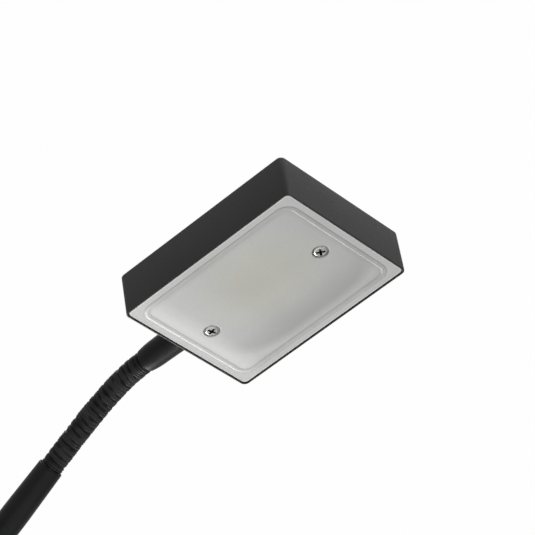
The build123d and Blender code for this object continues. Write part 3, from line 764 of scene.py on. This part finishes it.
def ring(bm, length, width, corner, z, centre=(0, 0), segments=8):
    """Closed loop of edges: a rectangle with rounded corners, at a level."""
    place = Matrix.Translation((*centre, z)) @ Matrix.Diagonal((length, width, 1, 1))
    grid = bmesh.ops.create_grid(bm, x_segments=1, y_segments=1, size=0.5, matrix=place)
    face = rounded(bm, grid["verts"], corner, segments)[0].link_faces[0]
    edges = list(face.edges)
    bmesh.ops.delete(bm, geom=[face], context="FACES_ONLY")
    return edges


def circle(bm, radius, place, segments=LARGE_CIRCLE):
    """Closed loop of edges: a circle in the XY plane of a matrix."""
    made = bmesh.ops.create_circle(
        bm, cap_ends=False, radius=radius, segments=segments, matrix=place)
    return list({e for v in made["verts"] for e in v.link_edges})


def mark(bm, loop, name, value):
    """Gives every point of a loop a value, under an attribute's name."""
    layer = bm.verts.layers.float[name]
    for v in {v for e in loop for v in e.verts}:
        v[layer] = value


def skin(bm, loops):
    """Wall through a stack of closed loops."""
    for first, second in zip(loops, loops[1:]):
        bmesh.ops.bridge_loops(bm, edges=first + second)


def cap(bm, loop):
    """Flat face over a loop."""
    bmesh.ops.contextual_create(bm, geom=loop)


def holed(bm, loops):
    """Flat face between an outer loop and the holes in it."""
    edges = [e for loop in loops for e in loop]
    bmesh.ops.triangle_fill(bm, edges=edges, use_beauty=True, use_dissolve=False)


def round_steps(radius, count=5):
    """(inset, drop) pairs along a quarter round, from the side face to the flat face."""
    turns = [pi / 2 * k / count for k in range(count + 1)]
    return [(radius * (1 - cos(a)), radius * (1 - sin(a))) for a in turns]


print("made helpers for loops, walls and flat faces")

# %% [markdown]
# The head housing is a die-cast tray that opens downwards. From outside to inside it has
# a rounded back, straight sides, a thin lip, a rebate that the cover drops into, a ledge
# for the gasket, and the cavity for the light. Each of those is a ring at its own level,
# so one stack of rings makes the whole casting. The nipple's hole in the end wall is
# under the ferrule's foot, so it isn't cut.

# %% Head housing
HEAD_CORNER = 2.5
HEAD_EDGE = 1.3
EDGE_SHARE = 0.9
LIP = 0.8
LIP_ROUND = 0.36
LIP_CHAMFER = 0.1
REBATE = 2.9
LEDGE_DRAFT = 0.02
HEAD_WALL = 2.3
HEAD_BACK = 2.2
FLAT_MARGIN = 0.3


def head_ring(bm, inset, z, corner):
    """Ring round the head, some way in from its sides."""
    return ring(
        bm, head_size.x - 2 * inset, head_size.y - 2 * inset, corner, z, (head_mid.x, head_mid.y))


bm = bmesh.new()
back = head_high.z
front = head_low.z
loops = []
for inset, drop in reversed(round_steps(HEAD_EDGE)):
    loops.append(head_ring(bm, inset, back - drop, HEAD_CORNER - inset * EDGE_SHARE))
for inset, drop in round_steps(LIP_ROUND, 3):
    loops.append(head_ring(bm, inset, front + drop, HEAD_CORNER - inset))
lip_corner = HEAD_CORNER - LIP
loops.append(head_ring(bm, LIP - LIP_CHAMFER, front, lip_corner))
loops.append(head_ring(bm, LIP, front + LIP_CHAMFER, lip_corner))
loops.append(head_ring(bm, LIP, front + REBATE, lip_corner))
loops.append(head_ring(bm, HEAD_WALL, front + REBATE + LEDGE_DRAFT, lip_corner))
loops.append(head_ring(bm, HEAD_WALL, back - HEAD_BACK, lip_corner))
loops.insert(0, head_ring(bm, HEAD_EDGE + FLAT_MARGIN, back, HEAD_CORNER / 2))
skin(bm, loops)
cap(bm, loops[0])
cap(bm, loops[-1])
finish(bm, "head_casting", "head", "black_cast_coat", ["head_housing"], HEAD_UP)

# %% [markdown]
# The cover is a moulding with a flat flange, a rounded bead that stiffens it, and a flat
# field with a counterbore for each screw. The bead has much rounder corners than the
# flange, as moulded beads do. The field is filled between the bead's inner ring and the
# two counterbores, and its holes run down to the screw seats.

# %% Lens cover
FLANGE = 3.2
BEAD = 2.2
BEAD_RISE = 0.3
BEAD_POWER = 0.8
BEAD_STEPS = 10
BEAD_CORNER = 6.0
FIELD_CORNER = 2.0
COVER_CORNER = 2.0
COVER_ROUND = 0.3
GASKET = 0.5
COUNTERBORE_R = 3.5
COUNTERBORE_DEPTH = 1.4
SCREW_HOLE_R = 1.55
WELL_MOUTH = ((0.55, 0), (0.25, 0), (0.07, 0.08), (0, 0.25))
cover_low, cover_high = level_box("lens_cover", HEAD_RISE)
screw_low, screw_high = level_box("lens_screws", HEAD_RISE)
cover_front = cover_low.z + BEAD_RISE
cover_back = front + REBATE - GASKET
cover_size = cover_high - cover_low
SCREW_HEAD_R = (screw_high.y - screw_low.y) / 2
screw_xs = [screw_low.x + SCREW_HEAD_R, screw_high.x - SCREW_HEAD_R]


def cover_ring(bm, inset, z, corner):
    """Ring on the cover, some way in from its edge. Its points carry that inset."""
    edges = ring(
        bm, cover_size.x - 2 * inset, cover_size.y - 2 * inset, corner, z, (head_mid.x, head_mid.y))
    mark(bm, edges, INSET, inset / INSET_REACH)
    return edges


def bead_shape(t):
    """Height of the bead across its width, with a soft foot and a round top."""
    return BEAD_RISE * sin(pi * t) ** BEAD_POWER


bm = bmesh.new()
bm.verts.layers.float.new(INSET)
loops = [cover_ring(bm, 0, cover_back, COVER_CORNER)]
for inset, drop in round_steps(COVER_ROUND, 3):
    loops.append(cover_ring(bm, inset, cover_front + drop, COVER_CORNER - inset))
edge_corner = COVER_CORNER - FLAT_MARGIN
loops.append(cover_ring(bm, COVER_ROUND + FLAT_MARGIN, cover_front, edge_corner))
loops.append(cover_ring(bm, FLANGE - FLAT_MARGIN, cover_front, BEAD_CORNER + FLAT_MARGIN))
for k in range(BEAD_STEPS + 1):
    t = k / BEAD_STEPS
    corner = BEAD_CORNER - BEAD * t
    loops.append(cover_ring(bm, FLANGE + BEAD * t, cover_front - bead_shape(t), corner))
bead_foot_corner = BEAD_CORNER - BEAD - FLAT_MARGIN
loops.append(cover_ring(bm, FLANGE + BEAD + FLAT_MARGIN, cover_front, bead_foot_corner))
loops.append(cover_ring(bm, INSET_REACH, cover_front, FIELD_CORNER))
skin(bm, loops)
well_shape = [(COUNTERBORE_R + wider, depth) for wider, depth in WELL_MOUTH]
well_shape += [
    (COUNTERBORE_R, COUNTERBORE_DEPTH), (SCREW_HOLE_R, COUNTERBORE_DEPTH),
    (SCREW_HOLE_R, cover_back - cover_front),
]
wells = []
for x in screw_xs:
    well = []
    for radius, depth in well_shape:
        place = Matrix.Translation((x, head_mid.y, cover_front + depth))
        well.append(circle(bm, radius, place, SMALL_CIRCLE))
        mark(bm, well[-1], INSET, 1.0)
    skin(bm, well)
    wells.append(well)
holed(bm, [loops[-1]] + [well[0] for well in wells])
holed(bm, [loops[0]] + [well[-1] for well in wells])
finish(bm, "frosted_cover", "head", "frosted_cover", ["lens_cover"], HEAD_UP)

# %% [markdown]
# A cross-head screw is a low dome with a tapered cross sunk into it. The cross is an
# outline of twelve corners: it is cut out of the dome's flat top and drawn down to a
# smaller cross, which gives the sloping flanks that catch the light. The two screws are
# turned differently, as they would be after being driven home.

# %% Cross-head screws
CROSS_SPAN = 3.9
CROSS_ARM = 1.0
CROSS_DEPTH = 1.5
CROSS_LIP = 0.06
LOW_SPAN = 0.6
LOW_ARM = 0.75
PAN_HEAD = ((1, 0), (1, 0.45), (0.97, 0.68), (0.89, 0.86), (0.8, 0.96), (0.74, 1), (0.7, 1))
# The last value of each level is how far its points are painted dark as shade.
CROSS_LEVELS = (
    (0, CROSS_SPAN, CROSS_ARM, 0.0),
    (CROSS_LIP, CROSS_SPAN, CROSS_ARM, 1.0),
    (CROSS_DEPTH, CROSS_SPAN * LOW_SPAN, CROSS_ARM * LOW_ARM, 1.0),
)
SHANK_R = 1.45
COVER_SCREW_TURNS = (12, 55)


def cross_loop(bm, span, arm, place):
    """Closed loop of edges round a cross."""
    a = arm / 2
    s = span / 2
    quarter = [(s, -a), (s, a), (a, a)]
    points = []
    for k in range(4):
        turn = Matrix.Rotation(k * pi / 2, 4, "Z")
        points += [place @ turn @ Vector((x, y, 0)) for x, y in quarter]
    verts = [bm.verts.new(p) for p in points]
    return [bm.edges.new((verts[i - 1], verts[i])) for i in range(len(verts))]


def cross_screw(bm, seat, head_r, head_h, length, turn):
    """Pan-head screw: seat is a matrix at the head's seat, with +Z out of the head."""
    shape = [(SHANK_R, -length), (SHANK_R, 0)]
    shape += [(head_r * across, head_h * up) for across, up in PAN_HEAD]
    loops = []
    for radius, z in shape:
        place = seat @ Matrix.Translation((0, 0, z))
        loops.append(circle(bm, radius, place, SMALL_CIRCLE))
    skin(bm, loops)
    cap(bm, loops[0])
    turned_seat = seat @ Matrix.Rotation(radians(turn), 4, "Z")
    crosses = []
    for depth, span, arm, dark in CROSS_LEVELS:
        place = turned_seat @ Matrix.Translation((0, 0, head_h - depth))
        crosses.append(cross_loop(bm, span, arm, place))
        mark(bm, crosses[-1], SUNK, dark)
    skin(bm, crosses)
    cap(bm, crosses[-1])
    holed(bm, [loops[-1], crosses[0]])


bm = bmesh.new()
bm.verts.layers.float.new(SUNK)
seat_z = cover_front + COUNTERBORE_DEPTH
head_h = seat_z - screw_low.z
for x, turn in zip(screw_xs, COVER_SCREW_TURNS):
    seat = Matrix.Translation((x, head_mid.y, seat_z)) @ Matrix.Rotation(pi, 4, "X")
    cross_screw(bm, seat, SCREW_HEAD_R, head_h, screw_high.z - seat_z, turn)
finish(bm, "cover_screws", "head", "screw_steel", ["lens_screws"], HEAD_UP)

# %% [markdown]
# The ferrules are turned parts. The one at the head widens from the sleeve to the head's
# end face and starts in a rounded nose. Its outline is a list of (x, radius) points.

# %% Head ferrule
NECK_R = 5.05
NECK_FIT = 0.05
HEAD_FERRULE_BORE = 4.2
NOSE_LENGTH = 4.0
NOSE_SWELL = 0.55
NOSE_ROUND = 2.2
RIM_ROUND = 0.25
FOOT_LENGTH = 6.0
FOOT_TAPER = 0.25
foot_low, foot_high = level_box("head_ferrule", HEAD_RISE)
ferrule_axis = ((foot_low.y + foot_high.y) / 2, (foot_low.z + foot_high.z) / 2)
foot_r = (foot_high.z - foot_low.z) / 2
neck_top_x = foot_low.x
nose_r = NECK_R + NECK_FIT
bm = bmesh.new()
outline = [
    (neck_top_x, HEAD_FERRULE_BORE), (neck_top_x, nose_r),
    (neck_top_x + NOSE_LENGTH, nose_r + NOSE_SWELL),
    (foot_high.x - FOOT_LENGTH, foot_r - FOOT_TAPER), (foot_high.x, foot_r),
    (foot_high.x, HEAD_FERRULE_BORE),
]
turned(bm, outline, rounds=((1, RIM_ROUND), (2, NOSE_ROUND)), centre=ferrule_axis)
finish(bm, "head_ferrule_boot", "head", "black_moulding", ["head_ferrule"], HEAD_UP)

# %% [markdown]
# The ferrule on the arm tube is the other way round: its open mouth takes the sleeve, and
# it widens to the tube. Behind the mouth its bore steps down.

# %% Tube ferrule
FERRULE = 30.0
FERRULE_TAPER = 24.0
FERRULE_BORE = 4.8
SOCKET = 8.0
MOUTH_R = 5.6
MOUTH_ROUND = 0.12
TAIL_ROUND = 0.2
tube_low, tube_high = level_box("tube_ferrule", ARM_RISE)
tube_axis = ((tube_low.y + tube_high.y) / 2, (tube_low.z + tube_high.z) / 2)
tube_r = (tube_high.z - tube_low.z) / 2
mouth_x = tube_high.x
bm = bmesh.new()
outline = [
    (mouth_x - SOCKET, NECK_R + NECK_FIT), (mouth_x, NECK_R + NECK_FIT), (mouth_x, MOUTH_R),
    (mouth_x - FERRULE_TAPER, tube_r), (mouth_x - FERRULE, tube_r),
    (mouth_x - FERRULE, FERRULE_BORE), (mouth_x - SOCKET, FERRULE_BORE),
]
rounds = ((1, MOUTH_ROUND), (2, RIM_ROUND), (4, TAIL_ROUND))
turned(bm, outline, rounds=rounds, centre=tube_axis)
finish(bm, "tube_ferrule_sleeve", "wall_arm", "black_satin_coat", ["tube_ferrule"], ARM_UP)

# %% [markdown]
# The arm tube follows a level line, an arc and a long slope. Circles are set along that
# line, square to it, and bridged. The arc's radius and its ends come from the CAD tube:
# the level height from its rear end and the slope's line from the ferrule's axis.

# %% Arm tube
TUBE_BEND_R = 60.0
TUBE_WALL = 1.1
BEND_STEPS = 24
arm_low = upright_box("arm_tube")[0]
arm_level = arm_low.z + tube_r
tube_end = ARM_UP @ Vector((mouth_x - FERRULE, 0, tube_axis[1]))
slope = Vector((cos(ARM_RISE), 0, sin(ARM_RISE)))
bend_z = arm_level + TUBE_BEND_R * (1 - cos(ARM_RISE))
bend_end = tube_end - slope * ((tube_end.z - bend_z) / slope.z)
bend_start_x = bend_end.x - TUBE_BEND_R * sin(ARM_RISE)


def tube_station(point, rise):
    """Matrix whose Z axis runs along the tube at a point."""
    return Matrix.Translation(point) @ Matrix.Rotation(pi / 2 - rise, 4, "Y")


stations = [tube_station(Vector((arm_low.x, 0, arm_level)), 0)]
for k in range(BEND_STEPS + 1):
    a = ARM_RISE * k / BEND_STEPS
    x = bend_start_x + TUBE_BEND_R * sin(a)
    z = arm_level + TUBE_BEND_R * (1 - cos(a))
    stations.append(tube_station(Vector((x, 0, z)), a))
stations.append(tube_station(tube_end, ARM_RISE))
bm = bmesh.new()
outer = [circle(bm, tube_r, place) for place in stations]
inner = [circle(bm, tube_r - TUBE_WALL, place) for place in stations]
skin(bm, outer + inner[::-1] + outer[:1])
finish(bm, "arm_tube_skin", "wall_arm", "black_satin_coat", ["arm_tube"])
print("tube bend starts at", round(bend_start_x, 1), "mm from the wall")

# %% [markdown]
# The gooseneck is the one piece that has to bend. In the CAD model it is a chain of
# rigid links on friction hinges. Here it is one continuous ribbed sleeve, cut at the
# middle of each link: every piece spans one hinge and is blended between the two
# bodies it joins, so the sleeve curves smoothly where the chain only folds.
#
# The centre line is a row of quadratic curves with the hinges as control points, and it
# passes through the middle of each link along the link. A real sleeve shows the coil
# underneath: shallow grooves about three millimetres apart, wound as a helix, and uneven.

# %% Neck centre line
SLEEVE_IN = 4.0
hinges = [Vector(joint["pos_m"]) / MM for joint in frame["joints"]]
bodies = [frame["joints"][0]["parent"]] + [joint["child"] for joint in frame["joints"]]
print("neck:", len(hinges), "hinges between", bodies[0], "and", bodies[-1])
neck_start = ARM_UP @ Vector((mouth_x - SLEEVE_IN, 0, tube_axis[1]))
neck_end = HEAD_UP @ Vector((neck_top_x, 0, ferrule_axis[1]))
cuts = [neck_start]
cuts += [(a + b) / 2 for a, b in zip(hinges, hinges[1:])]
cuts.append(neck_end)


def neck_point(piece, t):
    """Place and direction on one piece's quadratic curve."""
    a, b, c = cuts[piece], hinges[piece], cuts[piece + 1]
    point = a * (1 - t) ** 2 + b * 2 * t * (1 - t) + c * t ** 2
    direction = ((b - a) * (1 - t) + (c - b) * t).normalized()
    return point, direction


# %% [markdown]
# The tube was shrunk with a hot-air gun held on one side, so its grooves are deepest on
# that side, and it puckered into fine wrinkles in patches and beside both ferrules. The
# relief is a function of the place along the neck and of the angle round it. Its uneven
# amounts come from a smooth noise: each is given as its size, the length of its patches,
# how many of them lie round the sleeve, and a seed.

# %% Sleeve relief
GROOVE_PITCH = 3.06
GROOVE_WIDTH = 0.46
GROOVE_DEPTH = 0.54
CROWN = 0.2
WRINKLE_PITCH = 1.15
WRINKLE_DEPTH = 0.3
PUCKER = 6.0
PINCH = 0.3
PINCH_REACH = 1.6
HOT_SIDE = atan2(-0.8, 0.6)
COOL_SHARE = 0.82
HOT_SHARE = 0.18
GROOVE_MEAN = 0.8
PATCH_LEVEL = 0.1
GROOVE_WANDER = (0.6, 2.3, 0.9)
GROOVE_SPREAD = (0.9, 3.1, 1.6)
WRINKLE_PATCHES = (1.8, 7.0, 0.7, 11.0)
WRINKLE_WANDER = (0.3, 2.0, 0.9, 5.0)
FINE_GRAIN = (0.07, 0.5, 1.3, 7.0)


def uneven(s, angle, amount, patch_length, patches_round, seed=0.0):
    """Smooth random value over the sleeve, from minus the amount to plus the amount."""
    across = (cos(angle) * patches_round, sin(angle) * patches_round + seed)
    return amount * noise.noise(Vector((s / patch_length, *across)))


def sleeve_relief(s, angle):
    """How far the surface lies inside the sleeve's full radius, and the pinch's part in it."""
    hot = COOL_SHARE + HOT_SHARE * cos(angle - HOT_SIDE)
    turns = (s + uneven(s, angle, *GROOVE_WANDER)) / GROOVE_PITCH - angle / (2 * pi)
    gap = (turns - floor(turns + 0.5)) * GROOVE_PITCH
    depth = GROOVE_DEPTH * hot * (GROOVE_MEAN + uneven(s, angle, *GROOVE_SPREAD))
    groove = depth / sqrt(1 + (gap / GROOVE_WIDTH) ** 4)
    crown = CROWN * hot * (1 - (2 * gap / GROOVE_PITCH) ** 2)
    near_end = 1 - min(s - SLEEVE_IN, neck_run - s) / PUCKER
    pinch = PINCH * max(0.0, 1 - abs(neck_run - s) / PINCH_REACH)
    patch = uneven(s, angle, *WRINKLE_PATCHES) - PATCH_LEVEL
    wave = 0.5 + 0.5 * cos(2 * pi * (s + uneven(s, angle, *WRINKLE_WANDER)) / WRINKLE_PITCH)
    wrinkle = WRINKLE_DEPTH * min(1.0, max(0.0, near_end, patch)) * wave
    fine = uneven(s, angle, *FINE_GRAIN)
    return CROWN * hot - crown + groove + wrinkle + pinch - fine, pinch


print("grooves every", GROOVE_PITCH, "mm, up to", GROOVE_DEPTH, "mm deep")

# %% [markdown]
# The relief repeats along the real length of the neck, so the centre line is walked in
# small steps first, adding up its length.

# %% Steps along the neck
RINGS = 44
ring_places = []
neck_run = 0.0
last = cuts[0]
for piece in range(len(hinges)):
    row = []
    for k in range(RINGS + 1):
        point, direction = neck_point(piece, k / RINGS)
        neck_run += (point - last).length
        last = point
        row.append((point, direction, neck_run))
    ring_places.append(row)
print("neck along its centre line, mm:", round(neck_run, 1))

# %% [markdown]
# Every step along that line gets a circle, square to it, and each of its points is pulled
# in from the sleeve's full radius by the relief there. A plain bore closes each piece, so
# it is a real wall, and it leaves the lead inside room to swing.
#
# A blend works the same from either body, so either may be named first.

# %% Ribbed sleeve
ROUND = 64
BORE_STEP = 4
SLEEVE_BORE = 3.6
OTHER_WAY_ROUND = 4

for piece, row in enumerate(ring_places):
    bm = bmesh.new()
    straight = bm.verts.layers.float_vector.new(STRAIGHT)
    crest = bm.verts.layers.float.new(CREST)
    outside = []
    bore = []
    for k, (point, direction, s) in enumerate(row):
        place = tube_station(point, atan2(direction.z, direction.x))
        loop = circle(bm, NECK_R, place, ROUND)
        for v in {v for e in loop for v in e.verts}:
            away = (place.inverted() @ v.co).normalized()
            angle = atan2(away.y, -away.x)
            sink, pinch = sleeve_relief(s, angle)
            v.co = place @ (away * (NECK_R - sink))
            v[crest] = 1 - (sink - pinch) / GROOVE_DEPTH
            v[straight] = Vector((s, away.y * NECK_R, -away.x * NECK_R)) * MM
        outside.append(loop)
        if k % BORE_STEP == 0:
            bore.append(circle(bm, SLEEVE_BORE, place, ROUND))
    skin(bm, outside + bore[::-1] + outside[:1])
    nodes = ["neck_sleeve_" + str(piece), "neck_coil_" + str(piece)]
    if piece == len(hinges) - 1:
        nodes += ["neck_sleeve_" + str(piece + 1), "neck_coil_" + str(piece + 1)]
    sleeve = finish(bm, "neck_skin_" + str(piece + 1), None, "neck_sleeve", nodes)
    ends = [(bodies[piece], cuts[piece] * MM), (bodies[piece + 1], cuts[piece + 1] * MM)]
    if piece == OTHER_WAY_ROUND:
        ends.reverse()
    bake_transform(sleeve, ends[0][0], ends[1][0], start=ends[0][1], end=ends[1][1])

# %% [markdown]
# The wall box is a folded steel cover over a plate. Its open back, its rounded front edges
# and its inside are again stacks of rings, and the hole for the arm's collar is a short
# wall between two circles. It is built lying down, with Z as the distance from the wall,
# and stood upright at the end.

# %% Wall box
BOX_WALL = 1.8
BOX_CORNER = 2.5
BOX_EDGE = 1.3
BOX_RIM = 0.3
INSIDE_CORNER = 0.8
COLLAR_HOLE_R = 8.6
UPRIGHT = Matrix.Rotation(pi / 2, 4, "Y")
box_low, box_high = upright_box("base_cover")
box_size = box_high - box_low
bush_low, bush_high = upright_box("arm_bush")
flange_r = (bush_high.z - bush_low.z) / 2


def box_ring(bm, inset, x, corner):
    """Ring round the wall box at a distance from the wall."""
    return ring(bm, box_size.z - 2 * inset, box_size.y - 2 * inset, corner, x)


bm = bmesh.new()
loops = [box_ring(bm, BOX_WALL, 0, INSIDE_CORNER)]
loops.append(box_ring(bm, BOX_RIM, 0, BOX_CORNER - BOX_RIM))
loops.append(box_ring(bm, 0, BOX_RIM, BOX_CORNER))
for inset, drop in round_steps(BOX_EDGE):
    loops.append(box_ring(bm, inset, box_size.x - drop, BOX_CORNER - inset * EDGE_SHARE))
inside = [loops[0], box_ring(bm, BOX_WALL, box_size.x - BOX_WALL, INSIDE_CORNER)]
skin(bm, loops)
skin(bm, inside)
hole = [
    circle(bm, COLLAR_HOLE_R, Matrix.Translation((-arm_level, 0, x)))
    for x in (box_size.x, box_size.x - BOX_WALL)
]
skin(bm, hole)
holed(bm, [loops[-1], hole[0]])
holed(bm, [inside[-1], hole[1]])
finish(bm, "wall_box_cover", "wall_arm", "black_texture_coat", ["base_cover"], UPRIGHT)

# %% [markdown]
# The collar is one turned moulding: a sleeve that fills the box's hole, and a rounded
# flange in front that hides the hole's edge.

# %% Arm collar
COLLAR_FLANGE = 3.0
COLLAR_PLAY = 0.1
TUBE_FIT = 0.05
COLLAR_ROUNDS = ((3, 0.3), (4, 1.1), (5, 0.2))
collar_r = COLLAR_HOLE_R - COLLAR_PLAY
collar_bore = tube_r + TUBE_FIT
flange_x = bush_high.x - COLLAR_FLANGE
bm = bmesh.new()
outline = [
    (bush_low.x, collar_bore), (bush_low.x, collar_r), (flange_x, collar_r),
    (flange_x, flange_r), (bush_high.x, flange_r), (bush_high.x, collar_bore),
]
turned(bm, outline, rounds=COLLAR_ROUNDS, centre=(0, arm_level))
finish(bm, "arm_collar", "wall_arm", "black_moulding", ["arm_bush"])

# %% [markdown]
# Two blackened screws hold the box's cover, one from above and one from below. They are
# the same cross-head screw as the lens cover's: the lower one's seat is turned over.

# %% Wall box screws
TAB_SCREW_LENGTH = 7.0
TAB_SCREW_TURNS = ((1, 20), (-1, 63))
tab_low, tab_high = upright_box("base_cover_screws")
tab_x = (tab_low.x + tab_high.x) / 2
tab_r = (tab_high.x - tab_low.x) / 2
bm = bmesh.new()
bm.verts.layers.float.new(SUNK)
for side, turn in TAB_SCREW_TURNS:
    seat = Matrix.Translation((tab_x, 0, side * box_size.z / 2))
    if side < 0:
        seat = seat @ Matrix.Rotation(pi, 4, "X")
    cross_screw(bm, seat, tab_r, tab_high.z - box_high.z, TAB_SCREW_LENGTH, turn)
finish(bm, "wall_box_screws", "wall_arm", "black_screw", ["base_cover_screws"])

# %% [markdown]
# The floor is studio paper. Lit by the soft world alone it would look grey beside the
# white surround, so what the eye sees of it is mixed with a plain glow of the same white,
# while the light that it throws back on the lamp stays that of paper.

# %% Floor finish
PAPER = (0.8, 0.8, 0.8)
PAPER_DARK = (0.79, 0.79, 0.79)
PAPER_ROUGHNESS = 0.8
PAPER_GRAIN = 0.004

floor_finish, floor_tree, floor_shader = material("floor_paper", PAPER, PAPER_ROUGHNESS)
tint(floor_tree, floor_shader, grain(floor_tree, PAPER_GRAIN), PAPER_DARK, PAPER)
floor_glow = floor_tree.nodes.new("ShaderNodeEmission")
floor_glow.inputs["Color"].default_value = (SURROUND, SURROUND, SURROUND, 1)
floor_out = floor_tree.nodes["Material Output"]
floor_mix = seen_or_lit(floor_tree, floor_glow, floor_shader)
floor_tree.links.new(floor_mix, floor_out.inputs["Surface"])
floor_mesh.materials.append(floor_finish)
print("floor finish:", floor_finish.name)
